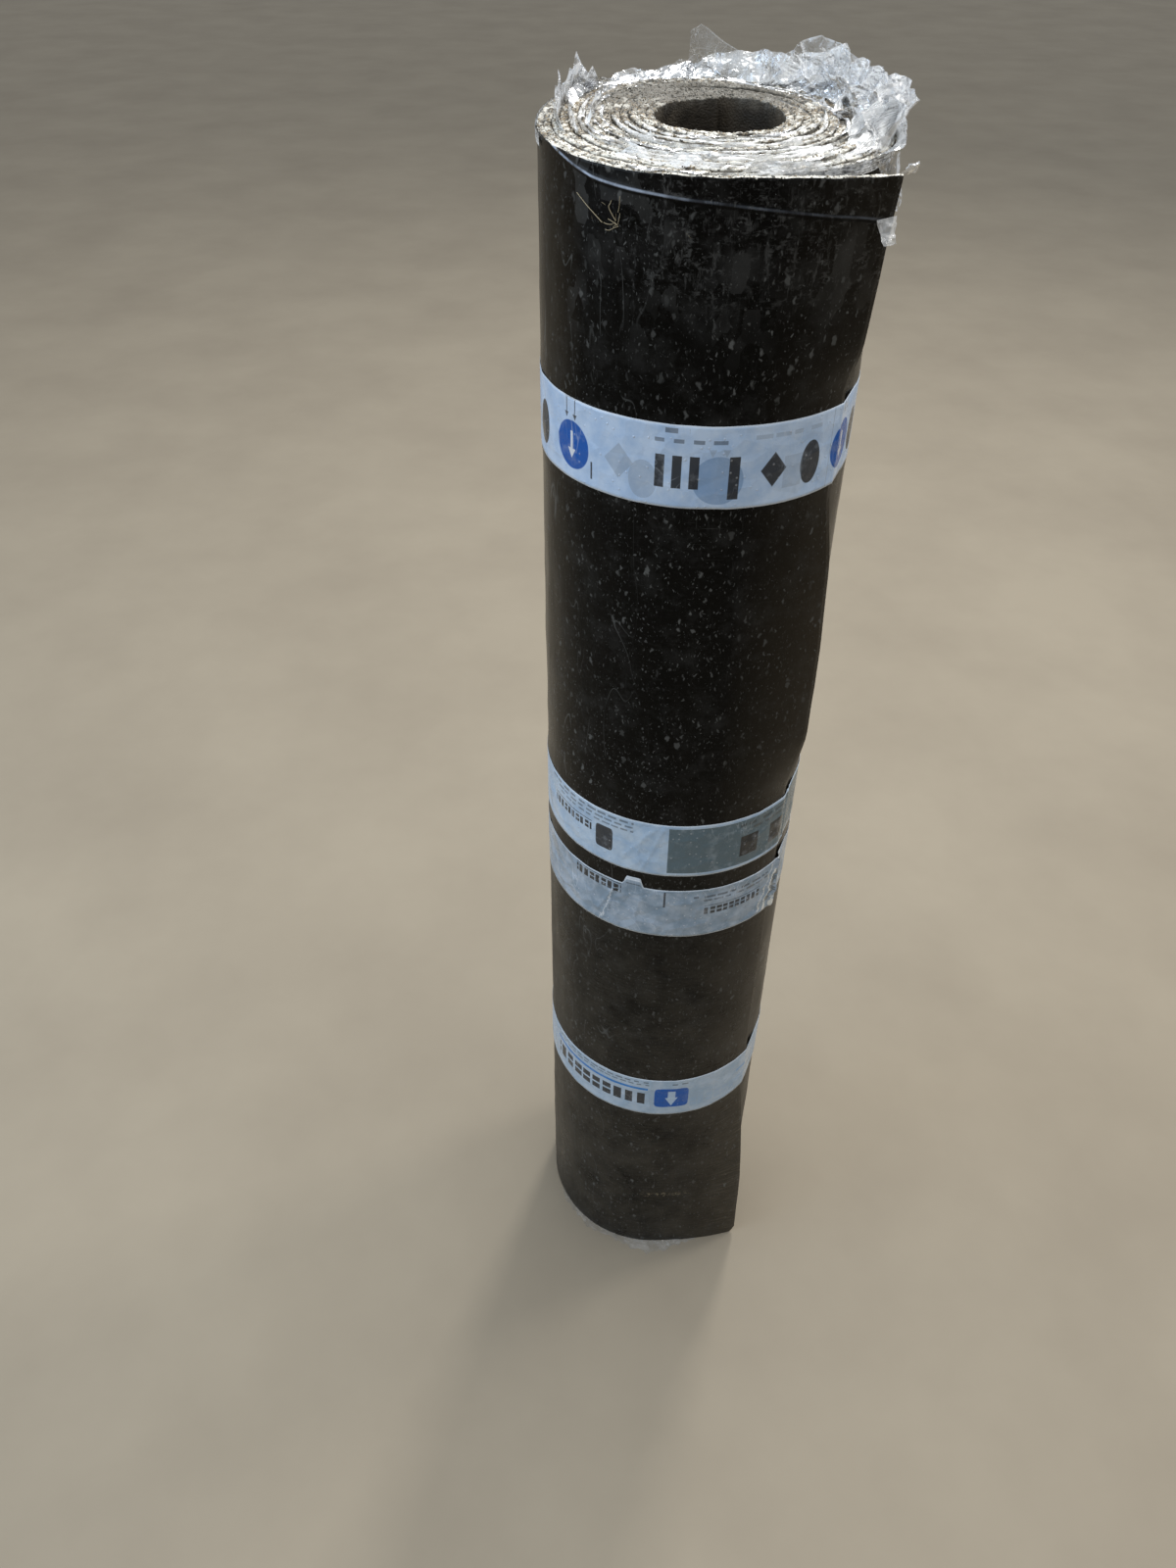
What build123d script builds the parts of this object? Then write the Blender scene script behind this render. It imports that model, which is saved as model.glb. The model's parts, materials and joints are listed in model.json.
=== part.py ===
"""A roll of roofing felt: one bitumen sheet wound up on itself, four wrapped tapes and the
loose clear film that stands out of its upper end.  Millimetres, +Z up, the origin on the
bore's axis at the foot.
"""
import math
import os

from build123d import *

# the sheet and the way it is wound
sheet_width = 1000.0
sheet_thickness = 3.9
turn_gap = 0.75
bore_radius = 36.0
layers = 14
inner_end_angle = 86.0
climb_sweep = 60.0
lap_sweep = 234.0

# the ends: inner turns pushed up step by step, with an open slit between turns
telescope = 8.6
flat_layers = 2
slit_depth = 6.0

# the free end of the sheet, which springs off the roll wherever no tape holds it
flap_sweep = 50.0
hold_margin = 2.0
top_curl = 0.30
middle_curl = 0.60
foot_curl = 0.30

# the tapes
tape_width = 50.0
tape_thickness = 0.3
tape_clearance = 0.15
bottom_tape_height = 224.0
middle_tape_height = 461.0
middle_tape_gap = 15.5
top_tape_drop = 125.5

# the crumpled film on the upper end
film_inner_radius = 48.0
film_rim_margin = 4.0
film_clearance = 0.3
film_low_height = 4.0
film_high_height = 30.0
film_high_angle = 50.0

pitch = sheet_thickness + turn_gap
end_radius = bore_radius + layers * pitch - turn_gap
flat_radius = end_radius - flat_layers * pitch
free_end_angle = inner_end_angle + lap_sweep
flap_root_angle = free_end_angle - flap_sweep
upper_middle_tape_height = middle_tape_height + tape_width + middle_tape_gap
top_tape_height = sheet_width - top_tape_drop - tape_width
cut_margin = 1.0


def polar(radius, angle):
    """The point at this radius and angle in the plane."""
    turn = math.radians(angle)
    return Vector(radius * math.cos(turn), radius * math.sin(turn))


def climb(radius):
    """Where the sheet rises by one pitch, over the inner end and every turn above it.

    It is two arcs that meet in one tangent: a flatter one going up, a tighter one landing.
    """
    start = polar(radius, inner_end_angle - climb_sweep)
    end = polar(radius + pitch, inner_end_angle)
    leave = polar(1, inner_end_angle - climb_sweep + 90)
    arrive = polar(1, inner_end_angle + 90)
    chord = end - start
    along = chord.dot(leave + arrive)
    bend = 1 - leave.dot(arrive)
    reach = (math.sqrt(along**2 + 2 * bend * chord.dot(chord)) - along) / (2 * bend)
    joint = (start + end + (leave - arrive) * reach) / 2
    TangentArc(start, joint, tangent=leave)
    TangentArc(end, joint, tangent=-arrive)


def round_stretch(radius, sweep):
    """The part of a turn that stays round, from the inner end's angle on."""
    CenterArc((0, 0), radius, inner_end_angle, sweep)


def wound_outline(radius, bridge_sweep):
    """The outside of the roll at its lapped radius, with the step down at the free end.

    A bridge sweep above zero runs straight from the free end to the turn below.
    """
    lower_radius = radius - pitch
    landing_angle = free_end_angle + bridge_sweep
    climb_angle = inner_end_angle + 360 - climb_sweep
    round_stretch(radius, lap_sweep)
    Line(polar(radius, free_end_angle), polar(lower_radius, landing_angle))
    CenterArc((0, 0), lower_radius, landing_angle, climb_angle - landing_angle)
    climb(lower_radius)


def slit_wall(first_radius):
    """One wall of the slit between turns, from the inner end to the flap's root."""
    for turn in range(layers - 2):
        round_stretch(first_radius + turn * pitch, 360 - climb_sweep)
        climb(first_radius + turn * pitch)
    round_stretch(first_radius + (layers - 2) * pitch, lap_sweep - flap_sweep)


def flap_section(curl):
    """The free end cut across: curl 1 lies on the roll, and 0 would stand straight out."""
    outer = end_radius / curl
    inner = outer - sheet_thickness
    centre = polar(end_radius - outer, flap_root_angle)
    sweep = flap_sweep * curl
    root_angle = flap_root_angle
    tip_angle = flap_root_angle + sweep
    CenterArc(centre, outer, root_angle, sweep)
    Line(centre + polar(outer, tip_angle), centre + polar(inner, tip_angle))
    CenterArc(centre, inner, root_angle, sweep)
    Line(centre + polar(inner, root_angle), centre + polar(outer, root_angle))


def springing_zones():
    """The heights where the flap springs off, each with the curl it reaches there."""
    foot_top = bottom_tape_height - hold_margin
    middle_foot = upper_middle_tape_height + tape_width + hold_margin
    middle_top = top_tape_height - hold_margin
    top_foot = top_tape_height + tape_width + hold_margin
    middle = middle_top - middle_foot
    top = sheet_width - top_foot

    def between(curl, share):
        return curl + (1 - curl) * share

    return [
        [(0, foot_curl), (foot_top * 0.4, between(foot_curl, 0.2)),
         (foot_top * 0.75, between(foot_curl, 0.65)), (foot_top, 1)],
        [(middle_foot, 1), (middle_foot + middle * 0.25, between(middle_curl, 0.05)),
         (middle_foot + middle * 0.55, between(middle_curl, 0.05)),
         (middle_foot + middle * 0.8, between(middle_curl, 0.35)), (middle_top, 1)],
        [(top_foot, 1), (top_foot + top * 0.25, between(top_curl, 0.62)),
         (top_foot + top * 0.75, between(top_curl, 0.42)), (sheet_width, top_curl)],
    ]


with BuildPart() as felt_roll:
    with BuildSketch():
        with BuildLine():
            wound_outline(end_radius, 0)
        make_face()
    extrude(amount=sheet_width + telescope)

    # the upper end: level outer turns, then a shallow cone up to the bore
    with BuildSketch(Plane.XZ):
        Polygon(
            (flat_radius, sheet_width), (end_radius + pitch, sheet_width),
            (end_radius + pitch, sheet_width + telescope + cut_margin),
            (bore_radius, sheet_width + telescope + cut_margin),
            (bore_radius, sheet_width + telescope), align=None,
        )
    revolve(axis=Axis.Z, mode=Mode.SUBTRACT)

    # the foot: the same cone as a recess, so that the roll stands on its outer turns
    with BuildSketch(Plane.XZ):
        Polygon((0, 0), (flat_radius, 0), (bore_radius, telescope), (0, telescope), align=None)
    revolve(axis=Axis.Z, mode=Mode.SUBTRACT)

    # the bore, round but for the step where the sheet begins
    with BuildSketch():
        with BuildLine():
            round_stretch(bore_radius, 360 - climb_sweep)
            climb(bore_radius)
            Line(polar(bore_radius, inner_end_angle), polar(bore_radius + pitch, inner_end_angle))
        make_face()
    extrude(amount=sheet_width + telescope, mode=Mode.SUBTRACT)

    # the open slit between turns, one spiral on each end
    for slit_foot in (0, sheet_width - slit_depth):
        with BuildSketch(Plane.XY.offset(slit_foot)):
            with BuildLine():
                inner_wall = bore_radius + sheet_thickness
                outer_wall = bore_radius + pitch
                slit_wall(inner_wall)
                slit_wall(outer_wall)
                last = (layers - 2) * pitch
                Line(polar(inner_wall, inner_end_angle), polar(outer_wall, inner_end_angle))
                Line(polar(inner_wall + last, flap_root_angle),
                     polar(outer_wall + last, flap_root_angle))
            make_face()
        extrude(amount=telescope + slit_depth, mode=Mode.SUBTRACT)

    # the free end, cut clear of the turn below and laid on again as the sprung flap
    for zone in springing_zones():
        zone_foot = zone[0][0]
        zone_top = zone[-1][0]
        with BuildSketch(Plane.XY.offset(zone_foot)):
            with BuildLine():
                under_radius = end_radius - pitch
                beyond = end_radius + pitch
                CenterArc((0, 0), under_radius, flap_root_angle, flap_sweep)
                Line(polar(under_radius, free_end_angle), polar(beyond, free_end_angle))
                CenterArc((0, 0), beyond, flap_root_angle, flap_sweep)
                Line(polar(under_radius, flap_root_angle), polar(beyond, flap_root_angle))
            make_face()
        extrude(amount=zone_top - zone_foot, mode=Mode.SUBTRACT)
        for height, curl in zone:
            with BuildSketch(Plane.XY.offset(height)):
                with BuildLine():
                    flap_section(curl)
                make_face()
        loft()


def wrapped_tape(height):
    """One turn of tape, drawn straight across the step at the sheet's free end."""
    inside = end_radius + tape_clearance
    bridge_sweep = math.degrees(math.acos((inside - pitch) / inside))
    with BuildPart() as tape:
        with BuildSketch(Plane.XY.offset(height)):
            for radius, mode in ((inside + tape_thickness, Mode.ADD), (inside, Mode.SUBTRACT)):
                with BuildLine():
                    wound_outline(radius, bridge_sweep)
                make_face(mode=mode)
        extrude(amount=tape_width)
    return tape


tape_heights = {
    "bottom_tape": bottom_tape_height,
    "lower_middle_tape": middle_tape_height,
    "upper_middle_tape": upper_middle_tape_height,
    "top_tape": top_tape_height,
}
tapes = {name: wrapped_tape(height) for name, height in tape_heights.items()}


def film_underside(radius):
    """The height of the film's underside at this radius, just clear of the wound end."""
    slope = telescope / (flat_radius - bore_radius)
    return sheet_width + max(0, flat_radius - radius) * slope + film_clearance


with BuildPart() as end_film:
    film_outer_radius = end_radius - pitch - film_rim_margin
    crest = sheet_width + film_high_height + film_low_height
    with BuildSketch(Plane.XZ):
        Polygon(
            (film_inner_radius, film_underside(film_inner_radius)),
            (flat_radius, film_underside(flat_radius)),
            (film_outer_radius, film_underside(film_outer_radius)), (film_outer_radius, crest),
            (film_inner_radius, crest), align=None,
        )
    revolve(axis=Axis.Z)
    # its top falls from the back right, where most of it gathers, to the front left
    middle = sheet_width + (film_high_height + film_low_height) / 2
    tilt = math.degrees(math.atan((film_high_height - film_low_height) / (2 * film_outer_radius)))
    fall = Plane.XY.offset(middle).rotated((0, 0, film_high_angle)).rotated((0, -tilt, 0))
    split(bisect_by=fall, keep=Keep.BOTTOM)

os.makedirs("parts", exist_ok=True)
felt_roll.part.label = "felt_roll"
export_step(felt_roll.part, "parts/felt_roll.step")
for name, tape in tapes.items():
    tape.part.label = name
    export_step(tape.part, f"parts/{name}.step")
end_film.part.label = "end_film"
export_step(end_film.part, "parts/end_film.step")

print(f"roll {2 * end_radius:.1f} mm across its lapped side, bore {2 * bore_radius:.0f} mm")
turns = layers - 1 + lap_sweep / 360
print(f"{turns:.2f} turns, sheet about {math.pi * turns * (bore_radius + end_radius) / 1000:.2f} m long")
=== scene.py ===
import json
import math

import bmesh
import bpy
import numpy as np
from mathutils import Matrix, Vector


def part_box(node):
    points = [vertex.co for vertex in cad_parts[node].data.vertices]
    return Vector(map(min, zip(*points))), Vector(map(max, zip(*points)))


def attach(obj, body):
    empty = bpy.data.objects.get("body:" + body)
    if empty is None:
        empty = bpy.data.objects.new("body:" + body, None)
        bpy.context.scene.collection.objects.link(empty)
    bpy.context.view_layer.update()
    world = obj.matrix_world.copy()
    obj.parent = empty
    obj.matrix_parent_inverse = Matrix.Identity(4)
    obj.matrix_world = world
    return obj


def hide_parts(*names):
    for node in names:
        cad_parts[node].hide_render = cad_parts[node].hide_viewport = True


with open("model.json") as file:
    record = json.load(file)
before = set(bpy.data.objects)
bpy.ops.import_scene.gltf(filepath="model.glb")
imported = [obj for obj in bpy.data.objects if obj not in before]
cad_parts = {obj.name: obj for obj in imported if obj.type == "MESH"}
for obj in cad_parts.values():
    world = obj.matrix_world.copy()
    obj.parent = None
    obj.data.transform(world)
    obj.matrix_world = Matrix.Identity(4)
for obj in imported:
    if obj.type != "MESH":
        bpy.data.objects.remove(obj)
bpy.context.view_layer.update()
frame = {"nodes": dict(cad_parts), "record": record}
nodes = frame["nodes"]
print("frame loaded:", ", ".join(sorted(nodes)))

# the winding, as the solids have it; metres and degrees
boreRadius = frame["record"]["mounts"][0]["dims"]["r_mm"] / 1000
endRadius = -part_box("felt_roll")[0].x
winding = {
    "pitch": 0.00465,
    "thickness": 0.0039,
    "layers": 14,
    "innerEndAngle": 86.0,
    "climbSweep": 60.0,
    "freeEndTurn": 13.65,
    "flapSweep": 50.0,
    "telescope": 0.0086,
    "flatRadius": 0.09105,
    "height": 1.0,
}
tapeFeet = {name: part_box(name)[0].z for name in
            ("bottom_tape", "lower_middle_tape", "upper_middle_tape", "top_tape")}
tapeWidth = 0.05
flapRootTurn = winding["freeEndTurn"] - winding["flapSweep"] / 360
coneSlope = winding["telescope"] / (winding["flatRadius"] - boreRadius)


# small helpers
def turnRadius(turn):
    # inner face of the sheet, round for 300 degrees and then up by one pitch
    whole = np.floor(turn)
    climb = winding["climbSweep"] / 360
    share = np.clip((turn - whole - (1 - climb)) / climb, 0, 1)
    return boreRadius + winding["pitch"] * (whole + share * share * (3 - 2 * share))


def turnAngle(turn):
    return np.radians(winding["innerEndAngle"] + 360 * np.asarray(turn, float))


def endLift(radius):
    return np.maximum(0, winding["flatRadius"] - radius) * coneSlope


def byAngle(degrees, table):
    places, values = zip(*table)
    return np.interp(degrees, places, values)


def foldedDegrees(angle):
    return (np.degrees(angle) + 180) % 360 - 180


def aroundAxis(radius, angle, z):
    return np.stack(np.broadcast_arrays(radius * np.cos(angle), radius * np.sin(angle), z), axis=-1)


def onLine(values):
    # points on a line, for noise that changes along it alone
    return np.stack([values, 0 * values, 0 * values], axis=-1)


raisedEnd = {
    # how far the upper end rises at each angle, outside, and the share of that at each radius; in mm
    "rim": [(-180, 4.5), (-160, 2.5), (-140, 0.8), (-120, 0), (-60, 0), (-30, 0.8), (0, 3), (40, 7),
            (90, 10), (139, 11), (160, 8), (180, 4.5)],
    "share": [(36, 0.15), (60, 0.65), (75, 0.95), (100, 1.0)],
    # how far the front of the bore's rim falls, and the radius up to which it does; in mm
    "boreFall": 2.2,
    "boreReach": 70,
    # the height from which it is felt, and over how much it grows; in metres
    "from": 0.9,
    "over": 0.09,
}


def raiseEnd(piece):
    # lifts the turns' ends towards the back and lowers the front of the bore's rim
    spots = np.empty(len(piece.data.vertices) * 3)
    piece.data.vertices.foreach_get("co", spots)
    spots = spots.reshape(-1, 3)
    degrees = np.degrees(np.arctan2(spots[:, 1], spots[:, 0]))
    reach = np.hypot(spots[:, 0], spots[:, 1]) * 1000
    rise = byAngle(degrees, raisedEnd["rim"]) * byAngle(reach, raisedEnd["share"])
    nearBore = np.clip((raisedEnd["boreReach"] - reach) / (raisedEnd["boreReach"] - boreRadius * 1000), 0, 1)
    rise = rise - raisedEnd["boreFall"] * np.clip(-np.sin(np.radians(degrees)), 0, 1) * nearBore
    spots[:, 2] += rise / 1000 * np.clip((spots[:, 2] - raisedEnd["from"]) / raisedEnd["over"], 0, 1)
    piece.data.vertices.foreach_set("co", spots.reshape(-1))
    piece.data.update()


def hashedValue(cells, seed):
    key = cells[..., 0] * 73856093 ^ cells[..., 1] * 19349663 ^ cells[..., 2] * 83492791
    key = (key + seed * 974711) & 0xFFFFFFFF
    key = (key ^ key >> 16) * 0x45D9F3B & 0xFFFFFFFF
    key = (key ^ key >> 16) * 0x45D9F3B & 0xFFFFFFFF
    return (key ^ key >> 16) / 0xFFFFFFFF


def softNoise(points, scale, seed):
    # smooth noise from -1 to 1
    spot = np.asarray(points, float) * scale
    cell = np.floor(spot).astype(np.int64)
    part = spot - cell
    part = part * part * (3 - 2 * part)
    total = 0
    for corner in range(8):
        step = np.array([corner & 1, corner >> 1 & 1, corner >> 2])
        weight = np.prod(np.where(step == 1, part, 1 - part), axis=-1)
        total = total + weight * hashedValue(cell + step, seed)
    return total * 2 - 1


def nearestSquared(points, scale, seed):
    spot = np.asarray(points, float) * scale
    cell = np.floor(spot).astype(np.int64)
    best = np.full(spot.shape[:-1], 9.0)
    for dx in (-1, 0, 1):
        for dy in (-1, 0, 1):
            near = cell + np.array([dx, dy, 0])
            px = near[..., 0] + hashedValue(near, seed)
            py = near[..., 1] + hashedValue(near, seed + 1)
            best = np.minimum(best, (spot[..., 0] - px) ** 2 + (spot[..., 1] - py) ** 2)
    return best


def creases(u, v, scale, seed):
    # flat facets that meet in sharp folds, as crumpled film has them
    flat = np.stack([u, v, np.zeros_like(u)], axis=-1)
    return nearestSquared(flat, scale, seed) - nearestSquared(flat + 0.37 / scale, scale, seed + 5)


def addPiece(name, data):
    piece = bpy.data.objects.new(name, data)
    bpy.context.collection.objects.link(piece)
    return piece


def gridMesh(name, grid, uv=None, closed=False):
    # grid is columns x rows x 3; closed joins the last row to the first
    columns, rows = grid.shape[:2]
    index = np.arange(columns * rows).reshape(columns, rows)
    if closed:
        index = np.concatenate([index, index[:, :1]], axis=1)
    quads = np.stack([index[:-1, :-1], index[1:, :-1], index[1:, 1:], index[:-1, 1:]], axis=-1)
    mesh = bpy.data.meshes.new(name)
    mesh.from_pydata(grid.reshape(-1, 3).tolist(), [], quads.reshape(-1, 4).tolist())
    if uv is not None:
        layer = mesh.uv_layers.new(name="flat")
        if closed:
            uv = np.concatenate([uv, uv[:, :1]], axis=1)
        corner = np.stack([uv[:-1, :-1], uv[1:, :-1], uv[1:, 1:], uv[:-1, 1:]], axis=2)
        layer.data.foreach_set("uv", corner.reshape(-1).astype(np.float32))
    mesh.shade_smooth()
    return addPiece(name, mesh)


def setPointValues(piece, name, values):
    layer = piece.data.attributes.new(name, "FLOAT", "POINT")
    layer.data.foreach_set("value", values.reshape(-1).astype(np.float32))


def weldSeams(piece):
    mesh = bmesh.new()
    mesh.from_mesh(piece.data)
    bmesh.ops.remove_doubles(mesh, verts=mesh.verts, dist=0.00001)
    mesh.to_mesh(piece.data)
    mesh.free()


def addNode(tree, kind, inputs=None, **settings):
    item = tree.nodes.new(kind)
    for key, value in settings.items():
        setattr(item, key, value)
    for key, value in (inputs or {}).items():
        if isinstance(value, bpy.types.NodeSocket):
            tree.links.new(value, item.inputs[key])
        else:
            item.inputs[key].default_value = value
    return item


def calc(tree, operation, first, second=0.0, third=None, clamp=False):
    inputs = {0: first, 1: second}
    if third is not None:
        inputs[2] = third
    return addNode(tree, "ShaderNodeMath", inputs, operation=operation, use_clamp=clamp).outputs[0]


def times(tree, first, *others):
    for other in others:
        first = calc(tree, "MULTIPLY", first, other)
    return first


def plus(tree, first, second):
    return calc(tree, "ADD", first, second)


def minus(tree, first, second):
    return calc(tree, "SUBTRACT", first, second)


def apart(tree, first, second):
    # how far apart two values are
    return calc(tree, "ABSOLUTE", minus(tree, first, second))


def ramp(tree, value, low, high, outLow=0.0, outHigh=1.0):
    inputs = {"Value": value, "From Min": low, "From Max": high, "To Min": outLow, "To Max": outHigh}
    return addNode(tree, "ShaderNodeMapRange", inputs, clamp=True).outputs[0]


def blendColour(tree, share, first, second):
    item = addNode(tree, "ShaderNodeMix", data_type="RGBA", blend_type="MIX")
    for socket, value in ((item.inputs[0], share), (item.inputs[6], first), (item.inputs[7], second)):
        if isinstance(value, bpy.types.NodeSocket):
            tree.links.new(value, socket)
        elif isinstance(value, (tuple, list)):
            socket.default_value = (*value, 1)
        else:
            socket.default_value = value
    return item.outputs[2]


def paintOver(tree, colour, layers):
    # lays one colour after the other over the first, each through its mask
    for mask, tint in layers:
        colour = blendColour(tree, mask, colour, tint)
    return colour


def noiseValue(tree, vector, scale, detail=2.0, roughness=0.5, distortion=0.0):
    inputs = {"Vector": vector, "Scale": scale, "Detail": detail, "Roughness": roughness,
              "Distortion": distortion}
    return addNode(tree, "ShaderNodeTexNoise", inputs).outputs["Fac"]


def cellPattern(tree, vector, scale, randomness=1.0, **settings):
    inputs = {"Vector": vector, "Scale": scale, "Randomness": randomness}
    return addNode(tree, "ShaderNodeTexVoronoi", inputs, **settings).outputs


def facets(tree, cells, otherCells):
    # flat facets that meet in sharp folds, from the squared distances in two cell patterns
    return minus(tree, calc(tree, "POWER", cells["Distance"], 2.0),
                 calc(tree, "POWER", otherCells["Distance"], 2.0))


def stretched(tree, vector, scale, turn=(0, 0, 0), shift=(0, 0, 0)):
    inputs = {"Vector": vector, "Scale": scale, "Rotation": turn, "Location": shift}
    return addNode(tree, "ShaderNodeMapping", inputs).outputs[0]


def axesOf(tree, vector):
    return addNode(tree, "ShaderNodeSeparateXYZ", {0: vector}).outputs


def fromAxes(tree, x, y, z):
    return addNode(tree, "ShaderNodeCombineXYZ", {0: x, 1: y, 2: z}).outputs[0]


def channelsOf(tree, colour):
    return addNode(tree, "ShaderNodeSeparateColor", {0: colour}).outputs


def pointValue(tree, name):
    return addNode(tree, "ShaderNodeAttribute", attribute_name=name).outputs["Fac"]


def bump(tree, height, strength, distance, normal=None):
    inputs = {"Height": height, "Strength": strength, "Distance": distance}
    if normal is not None:
        inputs["Normal"] = normal
    return addNode(tree, "ShaderNodeBump", inputs).outputs[0]


def startMaterial(name):
    material = bpy.data.materials.new(name)
    material.use_nodes = True
    tree = material.node_tree
    tree.nodes.clear()
    place = addNode(tree, "ShaderNodeTexCoord")
    return material, tree, place


def addSurface(tree, colour, roughness, reflectance=0.5, normal=None):
    inputs = {"Base Color": colour, "Roughness": roughness, "Specular IOR Level": reflectance}
    if normal is not None:
        inputs["Normal"] = normal
    return addNode(tree, "ShaderNodeBsdfPrincipled", inputs)


def finishMaterial(material, shader):
    addNode(material.node_tree, "ShaderNodeOutputMaterial", {"Surface": shader.outputs[0]})
    return material


def startTree(name, inputs):
    # a modifier's tree; its inputs come as name, kind and value
    tree = bpy.data.node_groups.new(name, "GeometryNodeTree")
    tree.is_modifier = True
    for label, kind, value in (("Geometry", "Geometry", None), *inputs, ("Material", "Material", None)):
        socket = tree.interface.new_socket(name=label, in_out="INPUT", socket_type="NodeSocket" + kind)
        if value is not None:
            socket.default_value = value
    tree.interface.new_socket(name="Geometry", in_out="OUTPUT", socket_type="NodeSocketGeometry")
    return tree, addNode(tree, "NodeGroupInput").outputs


def finishTree(tree, geometry, material):
    real = addNode(tree, "GeometryNodeRealizeInstances", {"Geometry": geometry})
    dressed = addNode(tree, "GeometryNodeSetMaterial", {"Geometry": real.outputs[0], "Material": material})
    addNode(tree, "NodeGroupOutput", {0: dressed.outputs[0]})
    return tree


# materials
feltSkin = {
    "black": (0.0018, 0.0017, 0.0016),
    "dust": (0.075, 0.066, 0.052),
    "speck": (0.115, 0.117, 0.113),
    "scuff": (0.076, 0.076, 0.074),
    # brown stain, partly a painted reflection of the surroundings towards the sides
    "brownAndSheen": (0.046, 0.036, 0.024),
    "brownAndSheenScuff": (0.066, 0.054, 0.038),
    # painted highlight along the fold near the rim, bluish like the light from the left; partly the pale of
    # the film's wrinkle
    "wrinkleHighlight": (0.55, 0.63, 0.78),
    "ochre": (0.17, 0.145, 0.1),
    "reflectance": 0.11,
    "frontAlong": 0.6465,    # metres along the sheet at the middle of the front
    # cells per metre, radius of the largest speck, share of cells without one, tilt
    "specks": ((90.0, 0.19, 0.6, 0.5), (110.0, 0.17, 0.55, -0.7),
               (210.0, 0.19, 0.42, 0.2), (420.0, 0.2, 0.5, 0.0)),
    "speckWarp": 0.0045,
    "brownAndSheenShare": 0.7,
    "mottleShare": 0.22,
    "scuffShare": 0.75,
    "paleLineHeight": 0.0875,
}


def speckMask(tree, flat):
    # cells with a warped round spot in some of them
    wobble = addNode(tree, "ShaderNodeTexNoise", {"Vector": flat, "Scale": 260.0, "Detail": 1.0})
    warped = addNode(tree, "ShaderNodeMix", {0: feltSkin["speckWarp"], 4: flat, 5: wobble.outputs["Color"]},
                     data_type="VECTOR")
    specks = None
    for scale, size, kept, tilt in feltSkin["specks"]:
        longer = stretched(tree, warped.outputs[1], (1.25, 0.62, 1.0), (0, 0, tilt), (0.3 * tilt, 0, 0))
        cell = cellPattern(tree, longer, scale, voronoi_dimensions="2D")
        chance = channelsOf(tree, cell["Color"])
        radius = ramp(tree, chance[1], 0.0, 1.0, 0.3 * size, size)
        spot = ramp(tree, minus(tree, radius, cell["Distance"]), 0.0, 0.08)
        chosen = calc(tree, "GREATER_THAN", chance[0], kept)
        layer = times(tree, spot, chosen, ramp(tree, chance[2], 0.0, 1.0, 0.15, 1.0))
        specks = layer if specks is None else calc(tree, "MAXIMUM", specks, layer)
    return times(tree, specks, ramp(tree, noiseValue(tree, flat, 9.0, 3.0), 0.42, 0.62, 0.55, 1.0))


def scratchMask(tree, flat, height):
    # fine scratches, mostly across, more of them low down
    hair = noiseValue(tree, stretched(tree, flat, (40.0, 900.0, 1.0), (0, 0, 0.5)), 1.0, 4.0, 0.7)
    hairUp = noiseValue(tree, stretched(tree, flat, (700.0, 25.0, 1.0)), 1.0, 4.0, 0.7)
    scratch = calc(tree, "MAXIMUM", ramp(tree, hair, 0.63, 0.75), ramp(tree, hairUp, 0.62, 0.76))
    worn = ramp(tree, noiseValue(tree, flat, 14.0, 4.0, 0.6), 0.48, 0.66, 0.15, 1.0)
    return times(tree, scratch, worn, ramp(tree, height, 0.55, 0.35, 0.6, 1.0))


def hairLineMask(tree, flat, across):
    # a few long curling hair lines on the left
    curl = noiseValue(tree, stretched(tree, flat, (42.0, 11.0, 1.0)), 1.0, 1.0, 0.4, 0.8)
    return times(tree, ramp(tree, apart(tree, curl, 0.5), 0.0075, 0.002),
                 ramp(tree, noiseValue(tree, flat, 24.0, 3.0), 0.48, 0.58),
                 ramp(tree, across, -0.04, -0.06, 0.0, 0.55))


def scuffMask(tree, flat, height, across):
    # blocks and brushed smudges near the upper end
    blocks = cellPattern(tree, stretched(tree, flat, (110.0, 60.0, 1.0)), 1.0, 0.8,
                         voronoi_dimensions="2D", distance="CHEBYCHEV")
    blockMask = times(tree, ramp(tree, channelsOf(tree, blocks["Color"])[0], 0.45, 1.0),
                      ramp(tree, noiseValue(tree, flat, 22.0, 3.0), 0.45, 0.6))
    blockMask = times(tree, blockMask, times(tree, ramp(tree, height, 0.90, 0.955), 0.7))
    zone = times(tree, ramp(tree, across, -0.065, -0.045), ramp(tree, height, 0.93, 0.948))
    brushed = noiseValue(tree, stretched(tree, flat, (150.0, 260.0, 1.0)), 1.0, 5.0, 0.72)
    brushedUp = noiseValue(tree, stretched(tree, flat, (260.0, 70.0, 1.0)), 1.0, 4.0, 0.7)
    smudge = calc(tree, "MAXIMUM", ramp(tree, brushed, 0.52, 0.64), ramp(tree, brushedUp, 0.55, 0.66))
    smudge = times(tree, smudge, ramp(tree, noiseValue(tree, flat, 45.0, 3.0), 0.38, 0.54, 0.35, 1.0),
                   ramp(tree, zone, 0.0, 1.0, 0.1, 1.0))
    return calc(tree, "MAXIMUM", blockMask, smudge)


def dustMask(tree, flat, solid, height):
    # more dust towards the foot
    low = ramp(tree, height, 0.62, 0.25, 0.0, 0.88)
    streaks = noiseValue(tree, stretched(tree, flat, (90.0, 420.0, 1.0), (0, 0, 0.35)), 1.0, 5.0, 0.7)
    film = plus(tree, noiseValue(tree, solid, 28.0, 6.0, 0.65), times(tree, streaks, 0.6))
    return times(tree, low, ramp(tree, film, 0.55, 1.15))


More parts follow.
